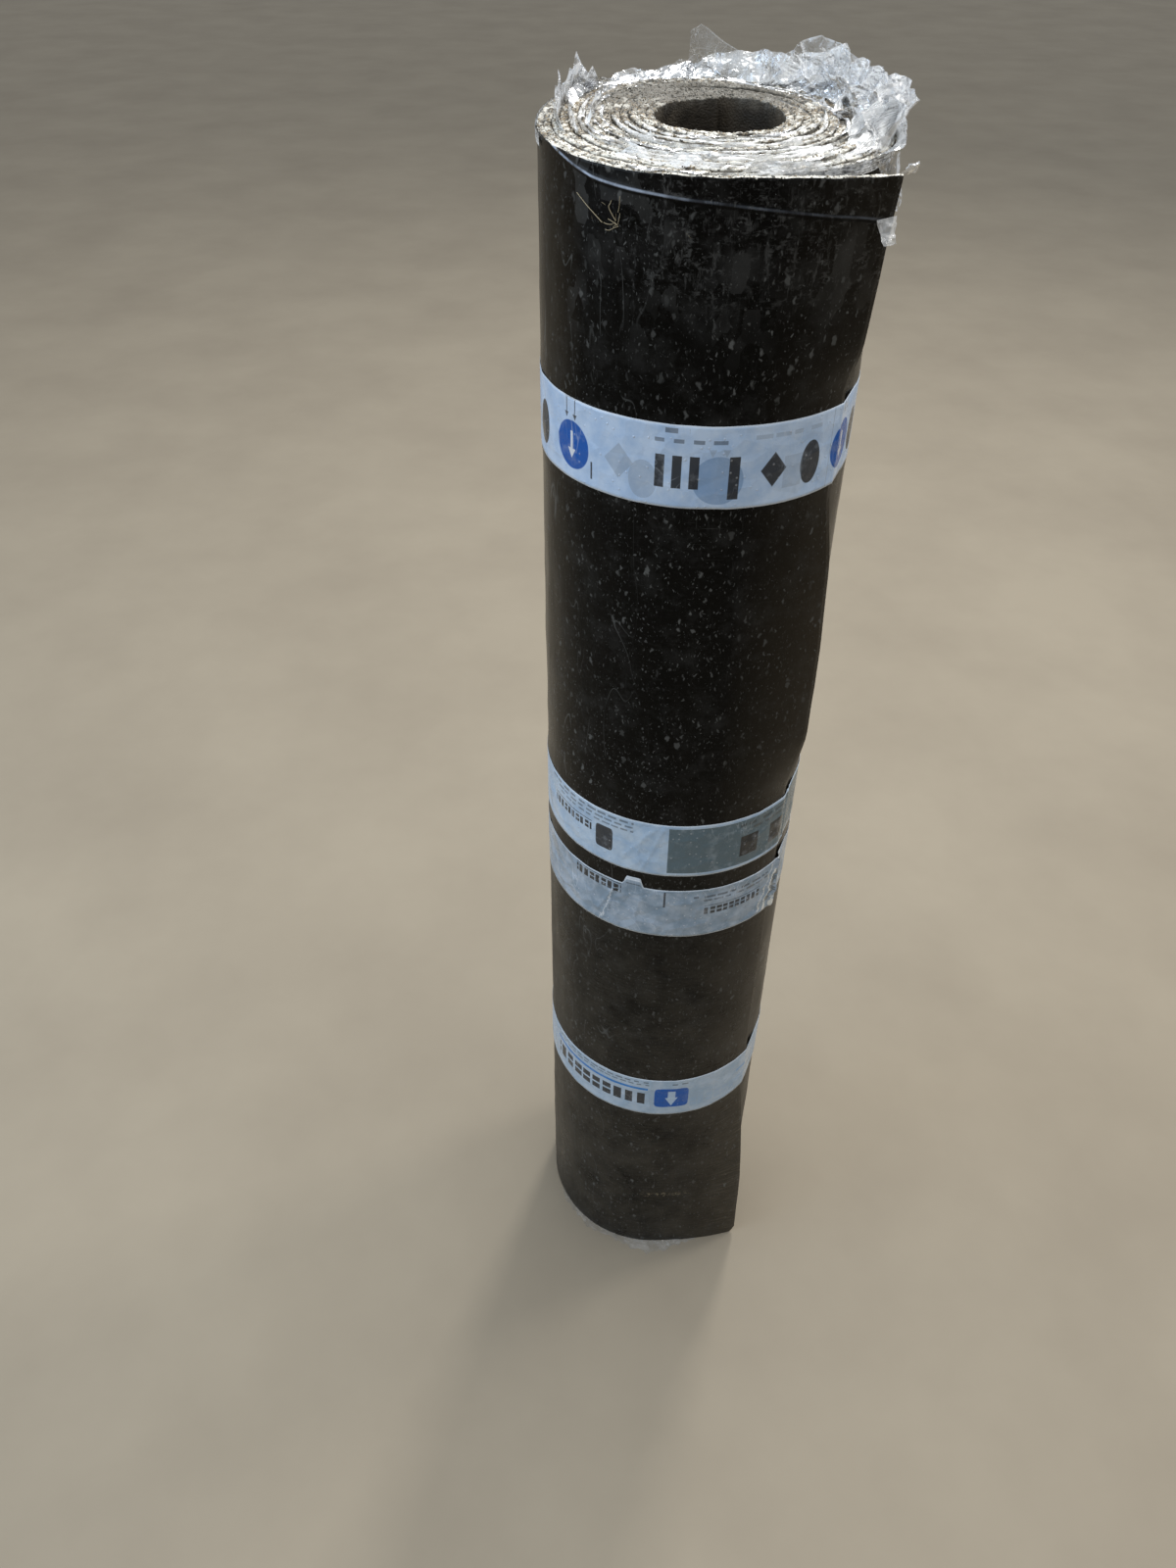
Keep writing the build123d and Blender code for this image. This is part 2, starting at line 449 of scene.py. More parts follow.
def brownAndSheenMask(tree, x, height):
    # browner to the right, and a little at the left edge: partly brown staining, partly a painted reflection
    # of the surroundings towards the silhouettes
    left = times(tree, ramp(tree, x, -0.074, -0.094), ramp(tree, height, 0.45, 0.9, 0.3, 1.0))
    right = times(tree, ramp(tree, x, 0.02, 0.085), ramp(tree, height, 0.92, 0.74, 0.35, 1.0))
    return calc(tree, "MAXIMUM", right, times(tree, left, 0.6))


def foldHighlightAndShadow(tree, flat, x):
    # the fold near the rim: a thin painted highlight along it, partly the pale of the film's wrinkle,
    # brighter to the left where the light comes from, with a painted shadow under it
    offLine = pointValue(tree, "offCrease")
    broken = ramp(tree, noiseValue(tree, flat, 60.0, 4.0, 0.6), 0.38, 0.62, 0.2, 1.0)
    bright = times(tree, ramp(tree, calc(tree, "ABSOLUTE", offLine), 0.3, 0.08),
                   times(tree, broken, ramp(tree, x, -0.065, 0.0, 1.0, 0.12)))
    dark = ramp(tree, calc(tree, "ABSOLUTE", plus(tree, offLine, 0.5)), 0.35, 0.1)
    return bright, times(tree, dark, 0.8)


def paleLineMask(tree, flat, height, across):
    # a ragged pale line low on the front
    wander = times(tree, minus(tree, noiseValue(tree, flat, 150.0, 4.0, 0.75), 0.5), 0.01)
    offLine = apart(tree, plus(tree, height, wander), feltSkin["paleLineHeight"])
    return times(tree, ramp(tree, offLine, 0.0042, 0.0008),
                 ramp(tree, apart(tree, across, 0.008), 0.026, 0.018),
                 ramp(tree, noiseValue(tree, flat, 330.0, 3.0, 0.6), 0.5, 0.6))


def rubbedMask(tree, flat, height, across):
    # slanting scratches low on the right
    slanting = noiseValue(tree, stretched(tree, flat, (45.0, 620.0, 1.0), (0, 0, -0.6)), 1.0, 4.0, 0.7)
    return times(tree, ramp(tree, across, 0.03, 0.075), ramp(tree, height, 0.3, 0.2),
                 ramp(tree, slanting, 0.52, 0.64), 0.4)


def makeFeltSkin():
    material, tree, place = startMaterial("filmFacedFelt")
    flat, solid = place.outputs["UV"], place.outputs["Object"]
    x, _, height = axesOf(tree, solid)
    across = minus(tree, axesOf(tree, flat)[0], feltSkin["frontAlong"])    # metres right of the front
    specks = speckMask(tree, flat)
    dust = dustMask(tree, flat, solid, height)
    # brown staining together with a painted reflection of the surroundings towards the sides
    brownAndSheen = brownAndSheenMask(tree, x, height)
    scuff = scuffMask(tree, flat, height, across)
    scuffTint = blendColour(tree, brownAndSheen, feltSkin["scuff"], feltSkin["brownAndSheenScuff"])
    mottle = ramp(tree, noiseValue(tree, flat, 38.0, 6.0, 0.68), 0.5, 0.75)
    # a painted highlight and a painted shadow along the fold
    foldHighlight, foldShadow = foldHighlightAndShadow(tree, flat, x)
    colour = paintOver(tree, feltSkin["black"], (
        (times(tree, brownAndSheen, feltSkin["brownAndSheenShare"]), feltSkin["brownAndSheen"]),
        (dust, feltSkin["dust"]),
        (times(tree, mottle, feltSkin["mottleShare"]), feltSkin["scuff"]),
        (times(tree, scuff, feltSkin["scuffShare"]), scuffTint),
        (scratchMask(tree, flat, height), feltSkin["scuff"]),
        (hairLineMask(tree, flat, across), feltSkin["speck"]),
        (specks, feltSkin["speck"]),
        # painted shadow under the fold, then its painted highlight
        (foldShadow, feltSkin["black"]),
        (foldHighlight, feltSkin["wrinkleHighlight"]),
        (paleLineMask(tree, flat, height, across), feltSkin["ochre"]),
        (rubbedMask(tree, flat, height, across), feltSkin["ochre"]),
    ))
    smear = noiseValue(tree, stretched(tree, solid, (30.0, 30.0, 5.0)), 1.0, 4.0, 0.6)
    rough = ramp(tree, plus(tree, smear, times(tree, dust, 0.6)), 0.3, 1.0, 0.14, 0.55)
    rough = calc(tree, "MAXIMUM", rough, times(tree, specks, 0.6))
    waves = noiseValue(tree, stretched(tree, solid, (45.0, 45.0, 14.0)), 1.0, 3.0, 0.55)
    grain = noiseValue(tree, solid, 900.0, 2.0)
    normal = bump(tree, waves, 0.35, 0.002)
    normal = bump(tree, plus(tree, grain, specks), 0.12, 0.0004, normal)
    return finishMaterial(material, addSurface(tree, colour, rough, feltSkin["reflectance"], normal))


feltEdge = {
    "bitumen": (0.02, 0.016, 0.012),
    "sand": (0.33, 0.26, 0.165),
    "grey": (0.17, 0.165, 0.15),
    "white": (0.84, 0.82, 0.75),
    "bore": (0.028, 0.022, 0.015),
    "boreDust": (0.085, 0.068, 0.048),
    "shaded": (0.095, 0.088, 0.072),
}


def boreShade(tree, solid, colour):
    # the bare ring behind the bore is darker and greyer than the rest of the end
    x, y, _ = axesOf(tree, solid)
    reach = calc(tree, "SQRT", plus(tree, times(tree, x, x), times(tree, y, y)))
    behind = times(tree, ramp(tree, y, -0.005, 0.035), ramp(tree, reach, 0.076, 0.066),
                   ramp(tree, x, 0.06, 0.036), 0.88)
    return blendColour(tree, behind, colour, feltEdge["shaded"])


def makeFeltEdge():
    material, tree, place = startMaterial("sandyTurnEdge")
    solid = place.outputs["Object"]
    grain = cellPattern(tree, solid, 900.0)
    tone = channelsOf(tree, grain["Color"])
    patch = noiseValue(tree, solid, 160.0, 5.0, 0.65)
    front = ramp(tree, axesOf(tree, solid)[1], -0.01, -0.06)
    colour = boreShade(tree, solid, paintOver(tree, feltEdge["bitumen"], (
        (ramp(tree, tone[0], 0.25, 0.7), feltEdge["sand"]),
        (ramp(tree, tone[1], 0.5, 0.8), feltEdge["grey"]),
        (ramp(tree, plus(tree, patch, times(tree, front, 0.1)), 0.5, 0.62), feltEdge["white"]),
        (ramp(tree, noiseValue(tree, solid, 330.0, 3.0, 0.7), 0.6, 0.68), feltEdge["bitumen"]),
    )))
    # the bore's wall and the other upright faces keep the bitumen's dark colour
    boreTint = blendColour(tree, ramp(tree, noiseValue(tree, solid, 70.0, 4.0), 0.4, 0.7),
                           feltEdge["bore"], feltEdge["boreDust"])
    level = ramp(tree, calc(tree, "ABSOLUTE", axesOf(tree, place.outputs["Normal"])[2]), 0.1, 0.5)
    colour = blendColour(tree, level, boreTint, colour)
    relief = plus(tree, patch, times(tree, grain["Distance"], -0.6))
    return finishMaterial(material, addSurface(tree, colour, 0.62, 0.35, bump(tree, relief, 0.8, 0.0008)))


def makeGrit():
    material, tree, place = startMaterial("looseGrit")
    solid = place.outputs["Object"]
    tone = channelsOf(tree, cellPattern(tree, solid, 420.0)["Color"])
    colour = boreShade(tree, solid, paintOver(tree, feltEdge["bitumen"], (
        (ramp(tree, tone[0], 0.2, 0.5), feltEdge["sand"]),
        (ramp(tree, tone[1], 0.45, 0.7), feltEdge["grey"]),
        (ramp(tree, tone[2], 0.5, 0.68), feltEdge["white"]),
    )))
    return finishMaterial(material, addSurface(tree, colour, 0.5))


clearFilm = {
    "tint": (0.97, 0.97, 0.965),
    "clear": (0.95, 0.96, 0.97),
    "glint": (0.97, 0.98, 1.0),
    "glintRoughness": 0.12,
    "foldScales": ((62.0, 1.0), (150.0, 0.4), (400.0, 0.06)),    # cells per metre, weight
    # least and most milk, and strength of the mirror
    "finishes": {
        "crumpledFilm": (0.08, 0.5, 0.8),
        "sheerFilm": (0.1, 0.36, 0.6),
        "flatFilm": (0.05, 0.2, 0.25),
    },
}


def makeClearFilm(name):
    material, tree, place = startMaterial(name)
    solid = place.outputs["Object"]
    thin, milky, sheen = clearFilm["finishes"][name]
    height, whitened = None, None
    for scale, weight in clearFilm["foldScales"]:
        shifted = stretched(tree, solid, (1, 1, 1), (0.4, 0.3, 0.2), (0.31, 0.17, 0.43))
        fold = facets(tree, cellPattern(tree, solid, scale), cellPattern(tree, shifted, scale))
        fold = times(tree, fold, weight)
        height = fold if height is None else plus(tree, height, fold)
        edge = cellPattern(tree, solid, scale, feature="DISTANCE_TO_EDGE")
        line = ramp(tree, edge["Distance"], 0.035, 0.0)
        whitened = line if whitened is None else calc(tree, "MAXIMUM", whitened, line)
    cloud = noiseValue(tree, solid, 55.0, 4.0, 0.6)
    cover = calc(tree, "MAXIMUM", ramp(tree, cloud, 0.42, 0.62, thin, milky),
                 times(tree, whitened, milky))
    streak = noiseValue(tree, stretched(tree, place.outputs["UV"], (160.0, 1100.0, 1.0)), 1.0, 4.0, 0.65)
    # the film's milkiness; on the end film it also holds painted light and painted-over shade
    milk = times(tree, pointValue(tree, "milk"), ramp(tree, streak, 0.42, 0.56, 0.05, 1.0))
    cover = calc(tree, "ADD", cover, times(tree, milk, 0.85), clamp=True)
    normal = bump(tree, height, 0.8, 0.004)
    clear = addNode(tree, "ShaderNodeBsdfTransparent", {"Color": (*clearFilm["clear"], 1)})
    body = addNode(tree, "ShaderNodeBsdfPrincipled",
                   {"Base Color": (*clearFilm["tint"], 1), "Roughness": 0.3, "Normal": normal})
    veil = addNode(tree, "ShaderNodeMixShader", {0: cover, 1: clear.outputs[0], 2: body.outputs[0]})
    # the film mirrors at full strength even where it is clear
    mirror = addNode(tree, "ShaderNodeFresnel", {"IOR": 1.5, "Normal": normal}).outputs[0]
    mirror = calc(tree, "MULTIPLY", mirror, sheen, clamp=True)
    glint = addNode(tree, "ShaderNodeBsdfGlossy", {"Color": (*clearFilm["glint"], 1), "Normal": normal,
                                                   "Roughness": clearFilm["glintRoughness"]})
    return finishMaterial(material, addNode(tree, "ShaderNodeMixShader",
                                            {0: mirror, 1: veil.outputs[0], 2: glint.outputs[0]}))


strawTints = ((0.3, 0.23, 0.12), (0.6, 0.52, 0.36))


def makeStraw():
    material, tree, place = startMaterial("driedStraw")
    tone = noiseValue(tree, place.outputs["Object"], 300.0, 2.0)
    return finishMaterial(material, addSurface(tree, blendColour(tree, tone, *strawTints), 0.6))


# print of each tape, and painted glints on the crumpled end of the lower middle tape; u in metres along the
# wrap from the middle of the front, v up from its lower edge
black, blue, slate, white, ghost = ((0.012, 0.012, 0.014), (0.0, 0.095, 0.42), (0.1, 0.15, 0.18),
                                    (0.8, 0.83, 0.86), (0.28, 0.34, 0.42))
tapePrintAndGlints = {
    "top_tape": [
        ("disc", 0.0040, 0.0175, 0.0150, 0.0150, (0.12, 0.24, 0.44), 0.6),
        ("wedge", 0.0000, 0.0340, 0.0050, 0.0050, ghost, 0.5),
        ("wedge", 0.0080, 0.0340, 0.0050, 0.0050, ghost, 0.5),
        ("disc", -0.0400, 0.0150, 0.0090, 0.0120, ghost, 0.5),
        ("disc", -0.092, 0.0215, 0.0150, 0.0150, blue, 1.0),
        ("bar", -0.0925, 0.0245, 0.0024, 0.0110, white, 0.9),
        ("wedge", -0.0925, 0.0160, 0.0075, 0.0065, white, 0.9),
        ("bar", -0.0935, 0.0497, 0.0120, 0.0012, black, 0.85),
        ("bar", -0.0975, 0.0440, 0.0011, 0.0105, black, 0.85),
        ("bar", -0.0895, 0.0440, 0.0011, 0.0105, black, 0.85),
        ("wedge", -0.0975, 0.0385, 0.0040, 0.0040, black, 0.85),
        ("wedge", -0.0895, 0.0385, 0.0040, 0.0040, black, 0.85),
        ("bar", -0.0750, 0.0110, 0.0016, 0.0110, black, 0.9),
        ("diamond", -0.0555, 0.0230, 0.0100, 0.0110, ghost, 0.55),
        ("bar", -0.0300, 0.0220, 0.0058, 0.0200, black, 0.95),
        ("bar", -0.0200, 0.0220, 0.0058, 0.0200, black, 0.95),
        ("bar", -0.0100, 0.0220, 0.0058, 0.0200, black, 0.95),
        ("bar", 0.0130, 0.0190, 0.0065, 0.0260, black, 0.95),
        ("diamond", 0.0370, 0.0220, 0.0085, 0.0110, black, 0.95),
        ("disc", 0.0625, 0.0215, 0.0075, 0.0135, black, 0.95),
        ("bar", 0.0500, 0.0190, 0.0130, 0.0200, ghost, 0.35),
        ("lines", -0.0235, 0.0465, 0.0200, 0.0032, black, 0.85),
        ("lines", -0.0120, 0.0405, 0.0430, 0.0026, black, 0.8),
        ("lines", 0.0460, 0.0425, 0.0460, 0.0028, ghost, 0.6),
        ("disc", 0.0950, 0.0225, 0.0150, 0.0150, blue, 1.0),
        ("bar", 0.0945, 0.0250, 0.0024, 0.0110, white, 0.9),
        ("wedge", 0.0945, 0.0165, 0.0075, 0.0065, white, 0.9),
        ("bar", 0.0930, 0.0470, 0.0011, 0.0090, black, 0.85),
        ("bar", 0.0990, 0.0470, 0.0011, 0.0090, black, 0.85),
        ("bar", 0.0795, 0.0250, 0.0006, 0.0500, (0.2, 0.22, 0.25), 0.7),
        ("disc", -0.1290, 0.0220, 0.0080, 0.0140, black, 0.95),
        ("disc", 0.1210, 0.0220, 0.0080, 0.0140, black, 0.95),
    ],
    "upper_middle_tape": [
        ("lines", -0.0790, 0.0460, 0.0860, 0.0022, black, 0.8),
        ("lines", -0.0760, 0.0420, 0.0800, 0.0020, black, 0.75),
        ("lines", -0.0730, 0.0382, 0.0740, 0.0018, black, 0.75),
        ("bar", -0.0940, 0.0330, 0.0450, 0.0010, black, 0.9),
        ("blocks", -0.0940, 0.0275, 0.0450, 0.0070, black, 0.95),
        ("slab", -0.0600, 0.0235, 0.0150, 0.0220, black, 0.95),
        ("bar", 0.0800, 0.0250, 0.1800, 0.0440, slate, 1.0),
        ("bar", 0.0535, 0.0210, 0.0160, 0.0200, black, 0.95),
        ("bar", 0.0810, 0.0210, 0.0150, 0.0200, black, 0.95),
        ("lines", 0.0690, 0.0420, 0.0500, 0.0030, black, 0.7),
        ("lines", 0.0700, 0.0370, 0.0400, 0.0026, black, 0.7),
    ],
    "lower_middle_tape": [
        ("blocks", -0.0655, 0.0425, 0.0430, 0.0080, black, 0.95),
        ("bar", -0.0655, 0.0480, 0.0430, 0.0010, black, 0.9),
        ("slant", -0.0565, 0.0200, 0.0016, 0.0400, (0.72, 0.76, 0.8), 0.75),
        ("slant", -0.0535, 0.0200, 0.0008, 0.0400, (0.12, 0.15, 0.19), 0.6),
        ("bar", -0.0340, 0.0489, 0.0150, 0.0007, (0.72, 0.76, 0.8), 0.8),
        ("bar", -0.0340, 0.0473, 0.0130, 0.0006, black, 0.6),
        # not print: painted glints and a painted shade line where the crumpled end's folds catch the light
        ("slant", 0.0780, 0.0250, 0.0016, 0.0440, (0.86, 0.85, 0.78), 0.8),
        ("slant", 0.0840, 0.0200, 0.0030, 0.0400, (0.95, 0.94, 0.88), 0.9),
        ("slant", 0.0885, 0.0300, 0.0024, 0.0420, (0.1, 0.1, 0.09), 0.75),
        ("slant", 0.0930, 0.0250, 0.0040, 0.0480, (0.9, 0.89, 0.82), 0.85),
        ("bar", -0.0100, 0.0400, 0.0018, 0.0160, black, 0.85),
        ("lines", 0.0470, 0.0420, 0.0700, 0.0024, black, 0.8),
        ("lines", 0.0500, 0.0380, 0.0600, 0.0022, black, 0.75),
        ("blocks", 0.0460, 0.0265, 0.0500, 0.0075, black, 0.9),
        ("bar", 0.0460, 0.0320, 0.0500, 0.0009, black, 0.85),
    ],
    "bottom_tape": [
        ("lines", -0.0650, 0.0455, 0.1060, 0.0020, black, 0.8),
        ("lines", -0.0650, 0.0420, 0.1060, 0.0018, black, 0.75),
        ("bar", -0.0660, 0.0360, 0.1060, 0.0032, (0.03, 0.2, 0.55), 1.0),
        ("blocks", -0.0640, 0.0220, 0.1060, 0.0160, black, 0.95),
        ("slab", 0.0085, 0.0245, 0.0310, 0.0270, blue, 1.0),
        ("wedge", 0.0085, 0.0190, 0.0120, 0.0120, (0.55, 0.7, 0.85), 0.8),
        ("bar", 0.0085, 0.0290, 0.0070, 0.0100, (0.55, 0.7, 0.85), 0.8),
        ("lines", 0.0155, 0.0440, 0.0150, 0.0020, black, 0.8),
        ("blocks", 0.0600, 0.0150, 0.0700, 0.0120, (0.3, 0.45, 0.65), 0.45),
        ("bar", -0.0100, 0.0250, 0.0006, 0.0500, (0.35, 0.4, 0.45), 0.6),
        ("bar", 0.0850, 0.0300, 0.0200, 0.0030, (0.1, 0.3, 0.65), 0.6),
    ],
}
tapeFinish = {
    # the colour of each tape and of its cloudy patches
    "tints": {
        "top_tape": ((0.42, 0.57, 0.80), (0.56, 0.69, 0.88)),
        "upper_middle_tape": ((0.36, 0.50, 0.68), (0.50, 0.62, 0.76)),
        "lower_middle_tape": ((0.23, 0.31, 0.40), (0.38, 0.46, 0.56)),
        "bottom_tape": ((0.34, 0.46, 0.60), (0.46, 0.56, 0.68)),
    },
    # how crumpled each tape looks, up to 1
    "crumple": {"top_tape": 0.45, "upper_middle_tape": 0.55, "lower_middle_tape": 0.9, "bottom_tape": 0.3},
    "rim": (0.7, 0.74, 0.78),
    "whitened": (0.72, 0.78, 0.86),
    "drop": (0.85, 0.88, 0.92),
    "printEdge": 0.00025,
    "uvShift": 0.35,    # metres along the wrap at the middle of the front
}


def printMask(tree, kind, u, v, centreU, centreV, width, height):
    du, dv = minus(tree, u, centreU), minus(tree, v, centreV)
    edge = tapeFinish["printEdge"]
    if kind == "slant":    # a ragged bar that leans
        spot = addNode(tree, "ShaderNodeCombineXYZ", {0: u, 1: v}).outputs[0]
        wander = times(tree, minus(tree, noiseValue(tree, spot, 130.0, 3.0, 0.7), 0.5), 0.014)
        du = plus(tree, minus(tree, du, times(tree, dv, 0.3)), wander)
    offU, offV = calc(tree, "ABSOLUTE", du), calc(tree, "ABSOLUTE", dv)
    if kind in ("disc", "diamond", "slab"):
        power = {"disc": 2.0, "diamond": 1.0, "slab": 7.0}[kind]
        halfU, halfV = (width / 2, height / 2) if kind == "slab" else (width, height)
        shareU = calc(tree, "POWER", calc(tree, "DIVIDE", offU, halfU), power)
        shareV = calc(tree, "POWER", calc(tree, "DIVIDE", offV, halfV), power)
        return ramp(tree, plus(tree, shareU, shareV), 1.0, 0.93)
    insideV = ramp(tree, offV, height / 2, height / 2 - edge)
    if kind == "wedge":    # points down
        half = times(tree, calc(tree, "DIVIDE", plus(tree, dv, height / 2), height), width / 2)
        return times(tree, ramp(tree, minus(tree, half, offU), 0.0, edge), insideV)
    mask = times(tree, ramp(tree, offU, width / 2, width / 2 - edge), insideV)
    if kind not in ("blocks", "lines"):
        return mask
    spot = calc(tree, "DIVIDE", u, height * (0.7 if kind == "blocks" else 4.3))
    chance = addNode(tree, "ShaderNodeTexWhiteNoise", {"W": calc(tree, "FLOOR", spot)},
                     noise_dimensions="1D").outputs[0]
    if kind == "blocks":   # a row of plain blocks, some split in two
        filled = ramp(tree, chance, 0.0, 1.0, 0.6, 0.86)
        split = times(tree, calc(tree, "COMPARE", dv, 0.0, height * 0.07),
                      calc(tree, "GREATER_THAN", chance, 0.45))
        block = calc(tree, "LESS_THAN", calc(tree, "FRACT", spot), filled)
        return times(tree, mask, calc(tree, "SUBTRACT", block, split, clamp=True))
    # a row of plain dashes of uneven length
    dash = calc(tree, "LESS_THAN", calc(tree, "FRACT", spot), ramp(tree, chance, 0.0, 1.0, 0.5, 0.9))
    return times(tree, mask, times(tree, dash, 0.75))


def makeTapeMaterial(name):
    material, tree, place = startMaterial(name + "Print")
    flat, solid = place.outputs["UV"], place.outputs["Object"]
    along, v, _ = axesOf(tree, flat)
    u = minus(tree, along, tapeFinish["uvShift"])
    base, clouded = tapeFinish["tints"][name]
    crumple = tapeFinish["crumple"][name]
    layers = [(ramp(tree, noiseValue(tree, solid, 60.0, 5.0, 0.6), 0.4, 0.62), clouded)]
    for kind, centreU, centreV, width, height, tint, strength in tapePrintAndGlints[name]:
        mask = printMask(tree, kind, u, v, centreU, centreV, width, height)
        layers.append((times(tree, mask, strength), tint))
    rim = ramp(tree, apart(tree, v, tapeWidth / 2), 0.0238, 0.0246)
    # it whitens where it is crumpled, and small pale spots lie on it
    pale = ramp(tree, noiseValue(tree, flat, 95.0, 3.0, 0.7), 0.52, 0.7)
    bent = noiseValue(tree, stretched(tree, flat, (1.0, 0.5, 1.0), (0, 0, 0.5)), 48.0, 2.0, 0.6, 1.2)
    crackle = times(tree, ramp(tree, apart(tree, bent, 0.5), 0.012, 0.0),
                    ramp(tree, noiseValue(tree, flat, 26.0, 3.0), 0.48, 0.62))
    drops = cellPattern(tree, flat, 230.0, voronoi_dimensions="2D")
    drop = times(tree, ramp(tree, drops["Distance"], 0.2, 0.08),
                 calc(tree, "GREATER_THAN", channelsOf(tree, drops["Color"])[0], 0.86))
    layers += [(times(tree, rim, 0.7), tapeFinish["rim"]),
               (times(tree, pale, 0.3 * crumple), tapeFinish["whitened"]),
               (times(tree, crackle, 0.7 * crumple), tapeFinish["whitened"]),
               (times(tree, drop, 0.5 * crumple), tapeFinish["drop"])]
    colour = paintOver(tree, base, layers)
    folds = cellPattern(tree, flat, 85.0, voronoi_dimensions="2D")
    leaning = stretched(tree, flat, (0.8, 1.1, 1), (0, 0, 0.6))
    otherFolds = cellPattern(tree, leaning, 60.0, voronoi_dimensions="2D")
    crinkle = noiseValue(tree, stretched(tree, solid, (120.0, 120.0, 90.0)), 1.0, 4.0, 0.6)
    normal = bump(tree, crinkle, 0.3, 0.001)
    normal = bump(tree, facets(tree, folds, otherFolds), crumple, 0.0016, normal)
    normal = bump(tree, drop, 0.5, 0.0006, normal)
    rough = ramp(tree, noiseValue(tree, solid, 40.0, 3.0), 0.35, 0.65, 0.16, 0.34)
    return finishMaterial(material, addSurface(tree, colour, rough, normal=normal))


print("materials")
skinMaterial = makeFeltSkin()
edgeMaterial = makeFeltEdge()
gritMaterial = makeGrit()
filmMaterial = makeClearFilm("crumpledFilm")
sheerMaterial = makeClearFilm("sheerFilm")
flatMaterial = makeClearFilm("flatFilm")
strawMaterial = makeStraw()

# outer turn with the sprung free end
outerTurn = {
    "firstTurn": 12.49,
    "columnStep": 2.0,      # degrees
    "rowStep": 0.0074,
    "fineRows": 42,
    "fineReach": 0.03,
    "cornerRound": 0.0008,
    "dent": 0.0005,
    "droop": 0.0025,
    "ragged": 0.0005,
    "wornCorner": 0.009,
    # angle and height of the fold that falls from the rim at the left to the free end
    "creaseLine": [(-250, 1.01), (-165, 1.004), (-156, 1.0), (-149, 0.9978), (-142, 0.9953), (-134, 0.9929),
                   (-121, 0.9917), (-109, 0.9904), (-95, 0.9889), (-85, 0.9869), (-60, 0.982), (-40, 0.978)],
    "creaseFade": [(-140, 1), (-100, 0.6), (-60, 0.35)],
    "creaseWander": 0.0006,
    "creaseHeight": 0.0007,
    "creaseWidth": 0.0008,
}
# height and how far the free end lies down there: 1 is tight on the roll
flapCurl = [(0.0, 0.30), (0.0888, 0.44), (0.1665, 0.755), (0.218, 1), (0.280, 1), (0.455, 1), (0.582, 1),
            (0.6395, 0.62), (0.7127, 0.62), (0.7737, 0.74), (0.818, 1), (0.881, 1), (0.9074, 0.734),
            (0.945, 0.62), (0.969, 0.56), (0.985, 0.48), (1.0, 0.42)]


def curlAt(z):
    heights, curls = zip(*flapCurl)
    spread = np.linspace(-0.005, 0.005, 9)
    return np.mean([np.interp(z + s, heights, curls) for s in spread], axis=0)


def nearTape(z):
    # 1 under a tape, falling to 0 at 12 mm from it
    close = np.zeros_like(z)
    for foot in tapeFeet.values():
        away = np.maximum(0, np.abs(z - foot - tapeWidth / 2) - tapeWidth / 2)
        close = np.maximum(close, np.clip(1 - away / 0.012, 0, 1))
    return close * close * (3 - 2 * close)


def outerDegrees(turn):
    return winding["innerEndAngle"] + 360 * turn - 360 * winding["layers"]


def creaseAt(turn):
    # height of the fold near the rim, which wanders a little
    arc = (turn - outerTurn["firstTurn"]) * 2 * math.pi * endRadius
    line = byAngle(outerDegrees(turn), outerTurn["creaseLine"])
    return line + outerTurn["creaseWander"] * softNoise(onLine(arc), 45.0, 9)


def outerSurface(turn, z, depth):
    # a point of the sheet, depth metres in from its outer face
    turn, z, depth = np.broadcast_arrays(turn, z, depth)
    angle = turnAngle(turn)
    reach = turnRadius(turn) + winding["thickness"]
    spot = aroundAxis(0.1, angle, z)
    dent = outerTurn["dent"] * (0.6 * softNoise(spot, 22.0, 3) + 0.5 * softNoise(spot, 60.0, 4) - 0.9)
    dent = dent * (1 - nearTape(z))
    ridge = outerTurn["creaseHeight"] * np.exp(-((z - creaseAt(turn)) / outerTurn["creaseWidth"]) ** 2)
    ridge = ridge * (depth < 0.001) * (0.75 + 0.4 * softNoise(spot, 70.0, 10))
    ridge = ridge * byAngle(outerDegrees(turn), outerTurn["creaseFade"])
    wound = aroundAxis(reach + dent + ridge - depth, angle, z)
    # past its root the free end follows a larger circle that touches the roll there
    curl = curlAt(z)
    past = np.radians((turn - flapRootTurn) * 360)
    rootAngle = turnAngle(flapRootTurn)
    outer = endRadius / curl
    flap = aroundAxis(outer - depth + dent + ridge, rootAngle + np.maximum(past, 0) * curl, z)
    flap = flap + aroundAxis(endRadius - outer, rootAngle, 0.0)
    return np.where((past > 0)[..., None], flap, wound)


def sheetSection(rowHeights, thickness, corner):
    # the cut of the sheet as (depth, height) once round: up the outer face and down the inner
    low, high = rowHeights[0], rowHeights[-1]
    outer = [(0.0, z) for z in rowHeights]
    top = [(corner * 0.3, high + corner * 0.7), (corner, high + corner),
           (thickness * 0.38, high + corner * 1.2), (thickness * 0.62, high + corner * 0.9),
           (thickness - corner, high + corner), (thickness - corner * 0.3, high + corner * 0.7)]
    inner = [(thickness, z) for z in reversed(rowHeights)]
    bottom = [(thickness - corner * 0.3, low - corner * 0.7), (thickness - corner, low - corner),
              (corner, low - corner), (corner * 0.3, low - corner * 0.7)]
    return np.array(outer + top + inner + bottom)


def outerRowHeights():
    corner = outerTurn["cornerRound"]
    high = winding["height"] - corner
    coarse = np.arange(corner, high - outerTurn["fineReach"], outerTurn["rowStep"])
    fine = np.linspace(high - outerTurn["fineReach"], high, outerTurn["fineRows"])
    return np.concatenate([coarse, fine])


